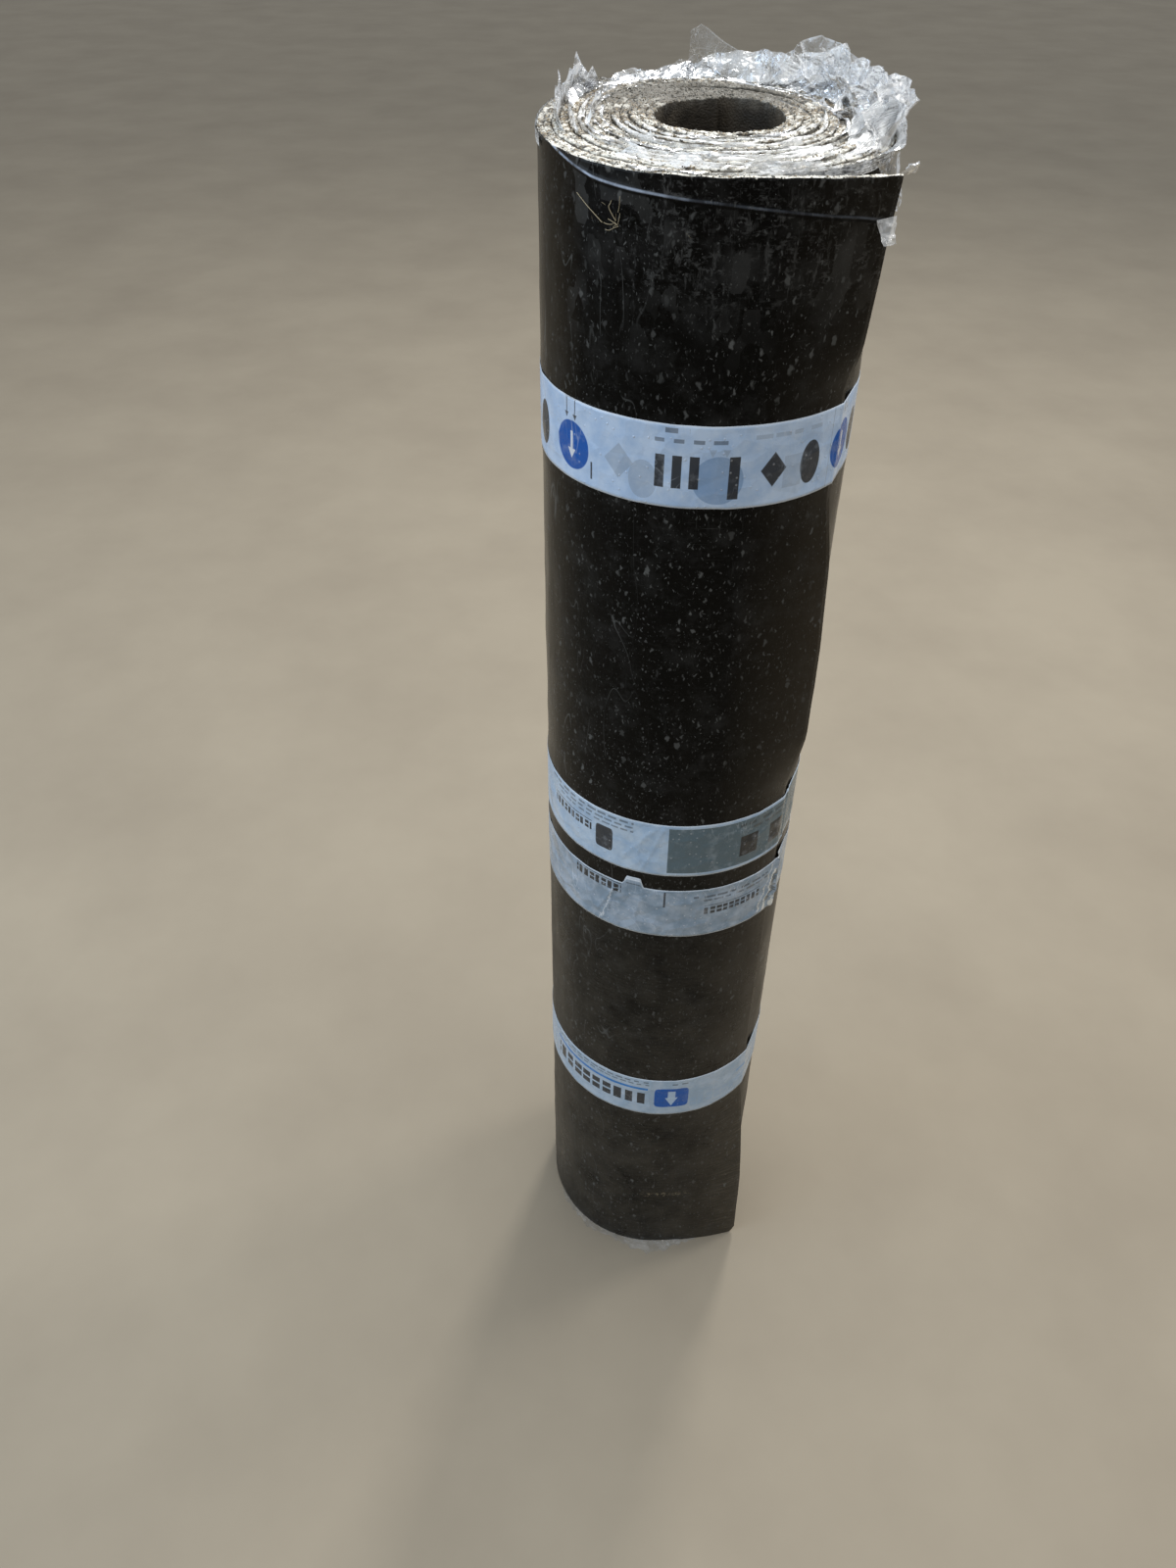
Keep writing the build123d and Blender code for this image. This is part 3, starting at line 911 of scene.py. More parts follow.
def makeOuterTurn():
    corner = outerTurn["cornerRound"]
    count = int((winding["freeEndTurn"] - outerTurn["firstTurn"]) / (outerTurn["columnStep"] / 360)) + 1
    turns = np.linspace(outerTurn["firstTurn"], winding["freeEndTurn"], count)
    depth, z = sheetSection(outerRowHeights(), winding["thickness"], corner).T
    # the first and last columns are pinched shut in the middle of the sheet
    middle = np.full_like(depth, winding["thickness"] / 2)
    capped = np.concatenate([turns[:1], turns, turns[-1:]])
    depths = np.stack([middle] + [depth] * count + [middle])
    heights = np.broadcast_to(z, depths.shape).copy()
    ragged = np.stack([capped[:, None] * 40 + 0 * depths, depths * 900, 0 * depths], axis=-1)
    atTop = z > winding["height"] - corner * 0.5
    heights[:, atTop] += outerTurn["ragged"] * softNoise(ragged, 3.0, 12)[:, atTop]
    # the lower corner of the free end is worn round
    nearEnd = np.clip(1 - (capped[-1] - capped) * 2 * math.pi * endRadius / outerTurn["wornCorner"], 0, 1)
    heights = np.maximum(heights, outerTurn["wornCorner"] * (1 - np.sqrt(1 - nearEnd ** 2))[:, None])
    grid = outerSurface(capped[:, None], heights, depths)
    # the free corner hangs down a little
    past = np.clip((capped - flapRootTurn) * 360 / winding["flapSweep"], 0, 1)[:, None]
    grid[..., 2] -= outerTurn["droop"] * past ** 1.5 * np.clip((heights - 0.9) / 0.1, 0, 1)
    along = (capped - capped[0]) * 2 * math.pi * endRadius
    uv = np.stack([np.broadcast_to(along[:, None], depths.shape), np.clip(heights, 0, 1)], axis=-1)
    piece = gridMesh("outerTurn", grid, uv, closed=True)
    setPointValues(piece, "offCrease", np.clip((heights - creaseAt(capped)[:, None]) / 0.003, -1.5, 1.5))
    # the skin covers both faces, and the edge colour the ends and the pinched columns
    mesh = piece.data
    mesh.materials.append(skinMaterial)
    mesh.materials.append(edgeMaterial)
    rows = len(z)
    onEdge = np.abs(z - winding["height"] / 2) > winding["height"] / 2 - corner * 0.9
    strip = np.tile(onEdge & np.roll(onEdge, -1), len(capped) - 1)
    strip[:rows] = True
    strip[-rows:] = True
    mesh.polygons.foreach_set("material_index", strip.astype(np.int32))
    weldSeams(piece)
    return piece


print("outer turn")
outerTurnPiece = makeOuterTurn()
raiseEnd(outerTurnPiece)

# inner turns, made by a rule in geometry nodes
innerTurns = {
    "turns": 12.49,
    "thickness": 0.00445,    # more than the sheet's own, so that the turns nearly touch
    "columnsPerTurn": 150,
    "rowHeights": (0.0008, 0.02, 0.3, 0.6, 0.9, 0.97, 0.99, 0.9992),
    "unevenness": 0.0015,
    "raggedness": 0.0014,
    "raggedAbove": 0.9985,
    "seed": 7,
}


def makeWoundTree(section):
    tree, given = startTree("woundSheet", (
        ("Section", "Object", None),
        ("Section points", "Int", len(section.data.vertices)),
        ("Turns", "Float", innerTurns["turns"]),
        ("Columns per turn", "Int", innerTurns["columnsPerTurn"]),
        ("Bore radius", "Float", boreRadius),
        ("Pitch", "Float", winding["pitch"]),
        ("Thickness", "Float", innerTurns["thickness"]),
        ("Inner end angle", "Float", math.radians(winding["innerEndAngle"])),
        ("Climb share", "Float", winding["climbSweep"] / 360),
        ("Cone slope", "Float", coneSlope),
        ("Flat radius", "Float", winding["flatRadius"]),
        ("Unevenness", "Float", innerTurns["unevenness"]),
        ("Raggedness", "Float", innerTurns["raggedness"]),
        ("Seed", "Float", float(innerTurns["seed"])),
    ))
    # a flat grid with one column for each step of the winding; each point finds its row and column
    columns = calc(tree, "ROUND", times(tree, given["Turns"], given["Columns per turn"]))
    rows = plus(tree, given["Section points"], 1.0)
    grid = addNode(tree, "GeometryNodeMeshGrid",
                   {"Size X": 1.0, "Size Y": 1.0, "Vertices X": rows, "Vertices Y": columns})
    index = addNode(tree, "GeometryNodeInputIndex").outputs[0]
    passed = calc(tree, "FLOOR", calc(tree, "DIVIDE", plus(tree, index, 0.5), columns))
    row = calc(tree, "MODULO", passed, given["Section points"])
    column = minus(tree, index, times(tree, columns, passed))
    share = calc(tree, "DIVIDE", minus(tree, column, 1.0), minus(tree, columns, 3.0), clamp=True)
    turn = times(tree, share, given["Turns"])
    # the first and last columns are pinched shut in the middle of the sheet
    pinch = plus(tree, calc(tree, "LESS_THAN", column, 0.5),
                 calc(tree, "GREATER_THAN", column, minus(tree, columns, 1.5)))
    profile = addNode(tree, "GeometryNodeObjectInfo", {"Object": given["Section"]})
    spot = addNode(tree, "GeometryNodeInputPosition").outputs[0]
    sample = addNode(tree, "GeometryNodeSampleIndex",
                     {"Geometry": profile.outputs["Geometry"], "Value": spot, "Index": row},
                     data_type="FLOAT_VECTOR")
    cutDepth, cutHeight, _ = axesOf(tree, sample.outputs[0])
    depth = plus(tree, times(tree, cutDepth, minus(tree, 1.0, pinch)),
                 times(tree, given["Thickness"], 0.5, pinch))
    # round for most of a turn, then up by one pitch
    whole = calc(tree, "FLOOR", turn)
    climbStart = minus(tree, 1.0, given["Climb share"])
    climbed = calc(tree, "DIVIDE", minus(tree, minus(tree, turn, whole), climbStart),
                   given["Climb share"], clamp=True)
    smooth = times(tree, climbed, climbed, minus(tree, 3.0, times(tree, climbed, 2.0)))
    inner = plus(tree, given["Bore radius"], times(tree, given["Pitch"], plus(tree, whole, smooth)))
    angle = plus(tree, given["Inner end angle"], times(tree, turn, 2 * math.pi))
    radius = minus(tree, plus(tree, inner, given["Thickness"]), depth)
    lift = times(tree, given["Cone slope"],
                 calc(tree, "MAXIMUM", 0.0, minus(tree, given["Flat radius"], inner)))
    # the turns stand unevenly, but not at the foot, and their upper edge is ragged
    drift = addNode(tree, "ShaderNodeTexNoise",
                    {"W": plus(tree, turn, given["Seed"]), "Scale": 2.3, "Detail": 4.0},
                    noise_dimensions="1D").outputs["Fac"]
    drift = times(tree, minus(tree, drift, 0.5), times(tree, given["Unevenness"], 4.0))
    drift = times(tree, drift, calc(tree, "MINIMUM", 1.0, calc(tree, "MAXIMUM", 0.0, cutHeight)))
    place = fromAxes(tree, times(tree, radius, calc(tree, "COSINE", angle)),
                     times(tree, radius, calc(tree, "SINE", angle)),
                     plus(tree, plus(tree, cutHeight, lift), drift))
    crumb = addNode(tree, "ShaderNodeTexNoise", {"Vector": place, "Scale": 420.0, "Detail": 3.0})
    crumb = times(tree, minus(tree, crumb.outputs["Fac"], 0.5), times(tree, given["Raggedness"], 2.0))
    atTop = calc(tree, "GREATER_THAN", cutHeight, innerTurns["raggedAbove"])
    ragged = fromAxes(tree, 0.0, 0.0, times(tree, crumb, atTop))
    place = addNode(tree, "ShaderNodeVectorMath", {0: place, 1: ragged}, operation="ADD").outputs[0]
    moved = addNode(tree, "GeometryNodeSetPosition", {"Geometry": grid.outputs["Mesh"], "Position": place})
    merged = addNode(tree, "GeometryNodeMergeByDistance", {"Geometry": moved.outputs[0], "Distance": 0.00001})
    outwards = addNode(tree, "GeometryNodeFlipFaces", {"Mesh": merged.outputs[0]})
    shaded = addNode(tree, "GeometryNodeSetShadeSmooth", {"Geometry": outwards.outputs[0]})
    return finishTree(tree, shaded.outputs[0], given["Material"])


def applyTree(piece, tree, values):
    # sets the named inputs, takes the result as a plain mesh and drops the modifier
    modifier = piece.modifiers.new(tree.name, "NODES")
    modifier.node_group = tree
    for item in tree.interface.items_tree:
        if item.in_out == "INPUT" and item.name in values:
            modifier[item.identifier] = values[item.name]
    graph = bpy.context.evaluated_depsgraph_get()
    graph.update()
    mesh = bpy.data.meshes.new_from_object(piece.evaluated_get(graph))
    piece.modifiers.clear()
    piece.data = mesh
    mesh.name = piece.name
    return piece


def makeInnerTurns():
    cut = sheetSection(innerTurns["rowHeights"], innerTurns["thickness"], outerTurn["cornerRound"])
    profile = addPiece("sheetSection", bpy.data.meshes.new("sheetSection"))
    profile.data.from_pydata([(depth, z, 0) for depth, z in cut.tolist()], [], [])
    piece = applyTree(addPiece("innerTurns", bpy.data.meshes.new("innerTurns")), makeWoundTree(profile),
                      {"Section": profile, "Material": edgeMaterial})
    bpy.data.objects.remove(profile)
    return piece


print("inner turns")
innerTurnsPiece = makeInnerTurns()
raiseEnd(innerTurnsPiece)
print("  ", len(innerTurnsPiece.data.polygons), "faces")

# grit on the turns' edges; the outer turn carries it on its rim alone
grit = {"density": 160000.0, "size": 0.00062, "lowest": 0.985, "outerLowest": 0.9985, "seed": 11}


def makeGritTree():
    tree, given = startTree("edgeGrit", (
        ("Density", "Float", grit["density"]),
        ("Size", "Float", grit["size"]),
        ("Lowest", "Float", grit["lowest"]),
        ("Seed", "Int", grit["seed"]),
    ))
    height = axesOf(tree, addNode(tree, "GeometryNodeInputPosition").outputs[0])[2]
    facingUp = axesOf(tree, addNode(tree, "GeometryNodeInputNormal").outputs[0])[2]
    onTop = times(tree, calc(tree, "GREATER_THAN", height, given["Lowest"]),
                  calc(tree, "GREATER_THAN", facingUp, 0.3))
    points = addNode(tree, "GeometryNodeDistributePointsOnFaces",
                     {"Mesh": given["Geometry"], "Density": given["Density"], "Seed": given["Seed"],
                      "Selection": onTop})
    grain = addNode(tree, "GeometryNodeMeshIcoSphere", {"Radius": given["Size"], "Subdivisions": 1})
    turned = addNode(tree, "FunctionNodeRandomValue", {"Seed": given["Seed"], "Max": (6.28, 6.28, 6.28)},
                     data_type="FLOAT_VECTOR")
    sized = addNode(tree, "FunctionNodeRandomValue",
                    {"Seed": given["Seed"], "Min": (0.4, 0.5, 0.3), "Max": (1.3, 1.7, 0.9)},
                    data_type="FLOAT_VECTOR")
    placed = addNode(tree, "GeometryNodeInstanceOnPoints",
                     {"Points": points.outputs["Points"], "Instance": grain.outputs["Mesh"],
                      "Rotation": turned.outputs[0], "Scale": sized.outputs[0]})
    return finishTree(tree, placed.outputs[0], given["Material"])


def makeGritOn(name, source, tree, seed, lowest):
    piece = addPiece(name, source.data.copy())
    return applyTree(piece, tree, {"Seed": seed, "Lowest": lowest, "Material": gritMaterial})


print("grit")
gritTree = makeGritTree()
innerGrit = makeGritOn("innerGrit", innerTurnsPiece, gritTree, grit["seed"], grit["lowest"])
outerGrit = makeGritOn("outerGrit", outerTurnPiece, gritTree, grit["seed"] + 1, grit["outerLowest"])
print("  ", len(innerGrit.data.polygons) + len(outerGrit.data.polygons), "faces")

# tapes
tapeShape = {
    "columnStep": 0.75,     # degrees
    "rows": 26,
    "clearance": 0.00022,
    "thickness": 0.00016,
    "ripple": 0.00035,
    "waver": 0.0004,        # of its edges
    "foldEnd": 0.004,       # over which a fold dies out at its ends
}
# folds of a tape: from u, v to u, v, then half width and height
tapeFolds = {
    "lower_middle_tape": [
        (-0.066, 0.008, -0.047, 0.047, 0.0011, 0.0012), (-0.052, 0.03, -0.02, 0.049, 0.0009, 0.0008),
        (0.087, -0.002, 0.091, 0.052, 0.0016, 0.0034), (0.094, -0.002, 0.093, 0.052, 0.0012, 0.0028),
        (0.083, 0.01, 0.095, 0.03, 0.0012, 0.0018), (-0.1, 0.01, -0.075, 0.045, 0.0012, 0.0005),
    ],
    "upper_middle_tape": [
        (-0.03, 0.0, -0.012, 0.05, 0.001, 0.0005), (-0.045, 0.01, -0.02, 0.045, 0.0012, 0.0005),
        (0.0965, -0.002, 0.0965, 0.052, 0.0012, 0.0009),
    ],
    "top_tape": [
        (0.0865, -0.002, 0.0865, 0.052, 0.0007, 0.0006), (0.045, -0.002, 0.06, 0.02, 0.001, 0.0004),
        (-0.12, 0.01, -0.08, 0.05, 0.001, 0.0003),
    ],
    "bottom_tape": [(-0.01, -0.002, -0.0095, 0.052, 0.0006, 0.0003)],
}
# torn tags over a tape's upper edge: middle, half width, rise
tapeTags = {"lower_middle_tape": [(-0.0345, 0.008, 0.0085)]}


def wrapRadius(angle):
    # outline of the wound roll at this angle in degrees, with a straight bridge at the step
    turn = winding["layers"] - 1 + ((angle - winding["innerEndAngle"]) % 360) / 360
    onLower = turn > winding["freeEndTurn"]
    radius = turnRadius(np.where(onLower, turn - 1, turn)) + winding["thickness"]
    upper, lower = endRadius, endRadius - winding["pitch"]
    bridge = math.acos(lower / upper)
    past = np.radians((turn - winding["freeEndTurn"]) * 360)
    straight = lower / np.cos(np.clip(bridge - past, -1.2, 1.2))
    return np.where(onLower & (past < bridge), straight, radius)


def foldRise(name, u, v):
    rise = 0 * u
    for startU, startV, endU, endV, width, height in tapeFolds[name]:
        du, dv = endU - startU, endV - startV
        span = math.hypot(du, dv)
        alongFold = ((u - startU) * du + (v - startV) * dv) / span
        acrossFold = ((u - startU) * dv - (v - startV) * du) / span
        inside = (np.clip(alongFold / tapeShape["foldEnd"], 0, 1)
                  * np.clip((span - alongFold) / tapeShape["foldEnd"], 0, 1))
        rise = rise + height * inside * np.exp(-(acrossFold / width) ** 2)
    return rise


def makeTape(name, seed):
    foot = tapeFeet[name]
    angles = np.linspace(-90 - 180, -90 + 180, int(360 / tapeShape["columnStep"]) + 1)
    turned = np.radians(angles)[:, None]
    rows = np.linspace(0, tapeWidth, tapeShape["rows"])
    u = (np.radians(angles + 90) * endRadius)[:, None] + 0 * rows
    v = rows[None] + 0 * turned
    spot = aroundAxis(1.0, turned, foot * 10 + v * 10)
    ripple = softNoise(spot * np.array([1, 1, 0.5]), 9.0, seed)
    ripple = ripple + 0.6 * creases(spot[..., 0] + spot[..., 1], spot[..., 2], 9.0, seed)
    # ripples and wavering edges fade out where the tape's ends meet
    seamless = np.clip((180 - np.abs(angles + 90)) / 8, 0, 1)[:, None]
    radius = wrapRadius(angles)[:, None] + tapeShape["clearance"]
    radius = radius + tapeShape["ripple"] * np.maximum(0, ripple) * seamless + foldRise(name, u, v)
    waver = tapeShape["waver"] * softNoise(spot, 6.0, seed + 3)[:, :1] * seamless
    z = foot + v + waver * ((v - tapeWidth / 2) / tapeWidth)
    for middle, halfWidth, rise in tapeTags.get(name, ()):
        share = np.clip((halfWidth - np.abs(u - middle)) / 0.0025, 0, 1) * np.clip((v - 0.045) / 0.005, 0, 1)
        z = z + rise * share
    outer = aroundAxis(radius, turned, z)
    inner = aroundAxis(radius - tapeShape["thickness"], turned, z)
    grid = np.concatenate([outer, inner[:, ::-1]], axis=1)
    along = np.radians(angles + 90) * (endRadius + tapeShape["clearance"]) + tapeFinish["uvShift"]
    uvOuter = np.stack([along[:, None] + 0 * rows, v], axis=-1)
    uv = np.concatenate([uvOuter, uvOuter[:, ::-1]], axis=1)
    piece = gridMesh(name + "Wrap", grid, uv, closed=True)
    weldSeams(piece)
    piece.data.materials.append(makeTapeMaterial(name))
    return piece


print("tapes")
tapePieces = {name: makeTape(name, 20 + 3 * number) for number, name in enumerate(tapeFeet)}

# crumpled film on the upper end
endFilm = {
    "firstTurn": 0.9,
    "lastTurn": 13.3,
    "columnLength": 0.0013,
    "rows": 12,
    "hidden": 0.006,    # how far it goes down between the turns
    "seed": 31,
    # angle and how high the film stands there on the outer turns, in mm
    "skyline": [(-180, 5), (-160, 4), (-130, 3), (-90, 3), (-60, 4), (-40, 7), (-20, 14), (0, 17), (17, 17),
                (30, 18), (45, 18), (60, 16), (75, 13), (90, 11), (112, 10), (130, 9.5), (150, 8),
                (165, 6), (180, 5)],
    # the same as a share of that over the end, from the bore to the outside
    "across": [(0, 0.03), (0.34, 0.1), (0.46, 0.3), (0.58, 0.55), (0.74, 0.9), (1.0, 1.0)],
    # the radius inside which there is no film, in mm
    "bare": [(-180, 56), (-150, 48), (-125, 40), (-60, 38), (-25, 46), (0, 52), (40, 57), (90, 70),
             (140, 66), (180, 56)],
    # how milky it is, partly painted light: more at the front, where the end is lit most, and at the right
    # back to fill the shade inside the film wall; below 0 it is clearer than the rest
    "milk": [(-180, 0.85), (-140, 0.8), (-115, 1.0), (-60, 1.0), (-20, 0.95), (20, 1.0), (60, 0.85),
             (80, 0.1), (95, -0.5), (135, -0.5), (155, 0.3), (180, 0.85)],
    # the radius outside which there is no film, in mm
    "outermost": [(-180, 88), (-160, 84), (-140, 86), (-120, 100), (140, 100), (160, 94), (180, 88)],
    # the least that shows, in mm: more at the front, where it lies flat over the edges
    "least": [(-180, 2.0), (-150, 2.4), (-125, 3.4), (-50, 3.6), (-25, 2.5), (10, 1.4), (140, 1.2),
              (180, 2.0)],
}


def filmTurns():
    # one column every so many metres along the winding
    turns = [endFilm["firstTurn"]]
    while turns[-1] < endFilm["lastTurn"]:
        radius = float(turnRadius(np.array(turns[-1])))
        turns.append(turns[-1] + endFilm["columnLength"] / (2 * math.pi * radius))
    return np.array(turns)


def filmHeight(turns, arc, base):
    # how far the film stands out of the end; below 0 it stays between the turns
    angle, seed = turnAngle(turns), endFilm["seed"]
    degrees, flat = foldedDegrees(angle), onLine(arc)
    share = np.clip((turnRadius(turns) - boreRadius) / (endRadius - boreRadius), 0, 1)
    tall = byAngle(degrees, endFilm["skyline"]) * byAngle(share, endFilm["across"])
    tall = np.maximum(tall, byAngle(degrees, endFilm["least"])) / 1000
    tall = tall * (0.85 + 0.45 * softNoise(flat, 32.0, seed) + 0.15 * creases(arc, 0 * arc, 60.0, seed + 2))
    # at the front it is torn into short strips
    torn = np.clip(-np.sin(angle) * 1.6 - 0.3, 0, 1)
    tall = tall * (1 - torn * np.clip(0.35 + 1.6 * softNoise(flat, 75.0, seed + 20), 0, 1))
    inside = (base - byAngle(degrees, endFilm["bare"]) / 1000) / 0.004
    outside = (byAngle(degrees, endFilm["outermost"]) / 1000 - base) / 0.004
    shown = np.clip(np.minimum(inside, outside) + 0.6 * softNoise(flat, 120.0, 3), 0, 1)
    return np.maximum(tall, 0.0006) * shown - 0.003 * (1 - shown)


def makeEndFilm():
    turns, seed = filmTurns(), endFilm["seed"]
    base = turnRadius(turns) + winding["thickness"] + (winding["pitch"] - winding["thickness"]) / 2
    arc = np.arange(len(turns)) * endFilm["columnLength"]
    tall = filmHeight(turns, arc, base)
    share = np.concatenate([[-1, -0.4], np.linspace(0, 1, endFilm["rows"] - 2)])
    length = np.where(share[None] < 0, share[None] * endFilm["hidden"], share[None] * tall[:, None] * 1.2)
    # low film lies over on the edges, tall film stands
    lying = np.clip(1 - (tall - 0.004) / 0.008, 0, 1)
    side = np.clip(softNoise(onLine(arc), 26.0, seed + 3) * 3, -1, 1)
    lean = side * (0.45 + 1.0 * lying) + 0.25 * softNoise(onLine(arc), 90.0, seed + 4)
    lean = lean[:, None] * np.clip(length / 0.0015, 0, 1)
    u = np.broadcast_to(arc[:, None], length.shape)
    # it has large folds where it is loose, and small ones all over
    loose = (1 - 0.75 * lying)[:, None] * np.clip(length / 0.004, 0, 1)
    out = np.clip(length / 0.001, 0, 1)
    outward = np.sin(lean) * np.maximum(length, 0)
    outward = outward + loose * (0.0075 * creases(u, length * 1.3, 48.0, seed + 7)
                                 + 0.0028 * creases(u, length, 115.0, seed + 9))
    outward = outward + 0.0005 * creases(u, length * 2, 260.0, seed + 10) * out
    upward = np.where(length < 0, length, np.cos(lean) * length + 0.0006 * out)
    upward = upward + loose * 0.003 * creases(u, length, 70.0, seed + 11)
    upward = upward + 0.0005 * creases(u, length * 2, 240.0, seed + 12) * out
    sideways = loose * 0.005 * creases(u, length, 60.0, seed + 13)
    radius = base[:, None] + outward
    turned = turnAngle(turns)[:, None] + sideways / base[:, None]
    # it rests on the turns' edges and never sinks into them
    z = winding["height"] + endLift(base)[:, None] + upward
    rest = winding["height"] + endLift(radius) + 0.0005 + 0.0005 * creases(u, length * 3, 200.0, seed + 15)
    z = np.where(length > 0, np.maximum(z, rest), z)
    uv = np.stack([u, length + 0.05 * np.floor(turns)[:, None]], axis=-1)
    piece = gridMesh("endFilmRuffles", aroundAxis(radius, turned, z), uv)
    # milkiness by angle, partly painted light at the lit front and over the shade at the right back
    milk = byAngle(foldedDegrees(turnAngle(turns)), endFilm["milk"])
    setPointValues(piece, "milk", np.repeat(milk, len(share)))
    piece.data.materials.append(filmMaterial)
    return piece


def meshArea(piece):
    areas = np.empty(len(piece.data.polygons))
    piece.data.polygons.foreach_get("area", areas)
    return float(areas.sum())


print("end film")
endFilmPiece = makeEndFilm()
raiseEnd(endFilmPiece)
print("  ", len(endFilmPiece.data.polygons), "faces,", round(meshArea(endFilmPiece), 4), "m2")

# outlines of the lobes, from their right end to their left one as the camera sees them
lobeOutlines = {
    "round": [(-1, 0.03), (-0.8, 0.5), (-0.4, 0.92), (0, 1), (0.4, 0.93), (0.8, 0.55), (1, 0.03)],
    "flap": [(-1, 0.58), (-0.2, 0.78), (0.66, 1.0), (0.97, 0.93), (1, 0.9)],
    "hump": [(-1, 0.6), (-0.25, 0.93), (0.3, 1.0), (0.63, 0.9), (1, 0.62)],
    "pointed": [(-1, 0.5), (-0.6, 0.76), (-0.4, 0.66), (0.05, 1.0), (0.3, 0.74), (0.55, 0.8), (0.75, 0.62),
                (1, 0.45)],
}
lobeShape = {
    "columns": 72,
    "rows": 34,
    "hidden": 0.002,    # how far below the rim it starts
    "milk": {"sheer": 0.0, "film": 0.35, "milky": 1.0},
    "edgeMilk": 0.8,    # the edge of the film shows as a pale line
    "edgeFrom": 0.97,
}
# each lobe stands up from the outer turns: middle angle, sweep, root radius, height, lean out,
# crumple, seed, outline, finish
filmLobes = [
    (86.5, 26, 0.087, 0.043, -0.02, 0.3, 41, "flap", "sheer"),
    (38, 60, 0.086, 0.040, 0.06, 0.55, 44, "hump", "sheer"),
    (20, 34, 0.090, 0.030, 0.25, 1.0, 45, "round", "film"),
    (68, 40, 0.080, 0.024, 0.05, 1.0, 47, "round", "film"),
    (-8, 36, 0.091, 0.026, 0.45, 1.0, 49, "round", "film"),
    (122, 46, 0.086, 0.021, 0.15, 1.0, 51, "round", "film"),
    (150, 28, 0.088, 0.034, 0.1, 0.45, 53, "pointed", "milky"),
    (169, 22, 0.088, 0.029, 0.1, 0.5, 54, "pointed", "milky"),
    (-28, 22, 0.093, 0.019, 0.35, 1.0, 57, "round", "film"),
    (187, 24, 0.086, 0.019, 0.3, 0.8, 59, "pointed", "milky"),
    (178, 40, 0.074, 0.024, -0.4, 0.8, 60, "pointed", "milky"),
    (-28, 24, 0.0985, -0.026, -0.25, 0.5, 62, "round", "sheer"),
]


def makeFilmLobe(number, lobe):
    middle, sweep, root, height, lean, crumple, seed, outline, finish = lobe
    across = np.linspace(-1, 1, lobeShape["columns"])[:, None]
    up = np.linspace(0, 1, lobeShape["rows"])[None]
    uneven = creases(across * 0.02 + seed, 0 * across, 60.0, seed)
    shape = byAngle(across, lobeOutlines[outline]) * (0.97 + 0.1 * crumple * uneven)
    rise = up * shape * height
    angle = np.radians(middle + across * sweep / 2 * (1 - 0.25 * up * crumple))
    u = across * math.radians(sweep) / 2 * root + 0 * up
    folds = creases(u, rise, 42.0, seed + 1)
    small = creases(u, rise, 110.0, seed + 2)
    free = np.clip(np.abs(rise) / 0.008, 0, 1)
    stir = crumple * min(abs(height), 0.5 * math.radians(sweep) * root) / 0.034
    radius = root + rise * lean + stir * free * (0.011 * folds + 0.0028 * small)
    radius = radius - 0.3 * crumple * np.maximum(0, rise - 0.02)
    z = winding["height"] - lobeShape["hidden"] + rise
    z = z + stir * free * 0.003 * creases(u, rise, 60.0, seed + 3)
    angle = angle + stir * free * 0.006 * creases(u, rise, 50.0, seed + 4) / root
    piece = gridMesh("filmLobe%d" % number, aroundAxis(radius, angle, z))
    milk = np.where(up > lobeShape["edgeFrom"], lobeShape["edgeMilk"], lobeShape["milk"][finish]) + 0 * across
    setPointValues(piece, "milk", milk)
    piece.data.materials.append(sheerMaterial if finish == "sheer" else filmMaterial)
    return piece


filmLobePieces = [makeFilmLobe(number, lobe) for number, lobe in enumerate(filmLobes)]
print("  ", len(filmLobePieces), "lobes")

# straws stuck to the side, by angle and height
straws = {
    "thickness": 0.0002,
    "thinner": 0.07,    # each straw than the one before
    "clearance": 0.0006,
    "lines": [
        [(-139.7, 0.9843), (-136.1, 0.9803), (-132.6, 0.9769), (-129.3, 0.9734)],
        [(-126.1, 0.9846), (-126.3, 0.9832), (-127.2, 0.9816), (-125.9, 0.9784), (-124.4, 0.9755)],
        [(-127.1, 0.9757), (-125.1, 0.9747), (-124.1, 0.9739)],
        [(-128.7, 0.9735), (-127.4, 0.9728), (-125.4, 0.9736)],
        [(-128.1, 0.9704), (-126.8, 0.97), (-125.1, 0.972), (-123.4, 0.9731)],
        [(-123.2, 0.9872), (-123.2, 0.9838), (-123.4, 0.9812), (-123.7, 0.9797)],
        [(-123.0, 0.9794), (-123.1, 0.9768), (-123.7, 0.9745)],
        [(-125.3, 0.9724), (-123.4, 0.9743)],
        [(-124.8, 0.9751), (-123.4, 0.9729)],
        [(-125.6, 0.9742), (-123.7, 0.9734)],
        [(-129.6, 0.9829), (-128.1, 0.982)],
        [(-124.4, 0.979), (-124.3, 0.9755)],
        [(-133.4, 0.9755), (-133.1, 0.9737)],
        [(-102.7, 0.9743), (-101.2, 0.9717)],
    ],
}


def makeStraws():
    data = bpy.data.curves.new("stuckStraws", "CURVE")
    data.dimensions = "3D"
    data.bevel_depth = straws["thickness"]
    data.bevel_resolution = 1
    data.use_fill_caps = True
    reach = endRadius + straws["clearance"]
    for number, line in enumerate(straws["lines"]):
        spline = data.splines.new("NURBS")
        spline.points.add(len(line) - 1)
        for point, (degrees, z) in zip(spline.points, line):
            angle = math.radians(degrees)
            point.co = (reach * math.cos(angle), reach * math.sin(angle), z, 1)
            point.radius = 1.0 - straws["thinner"] * number
        spline.order_u = min(3, len(line))
        spline.use_endpoint_u = True
    curve = addPiece("stuckStraws", data)
    bpy.context.view_layer.update()
    mesh = bpy.data.meshes.new_from_object(curve)
    bpy.data.objects.remove(curve)
    mesh.materials.append(strawMaterial)
    return addPiece("stuckStraws", mesh)


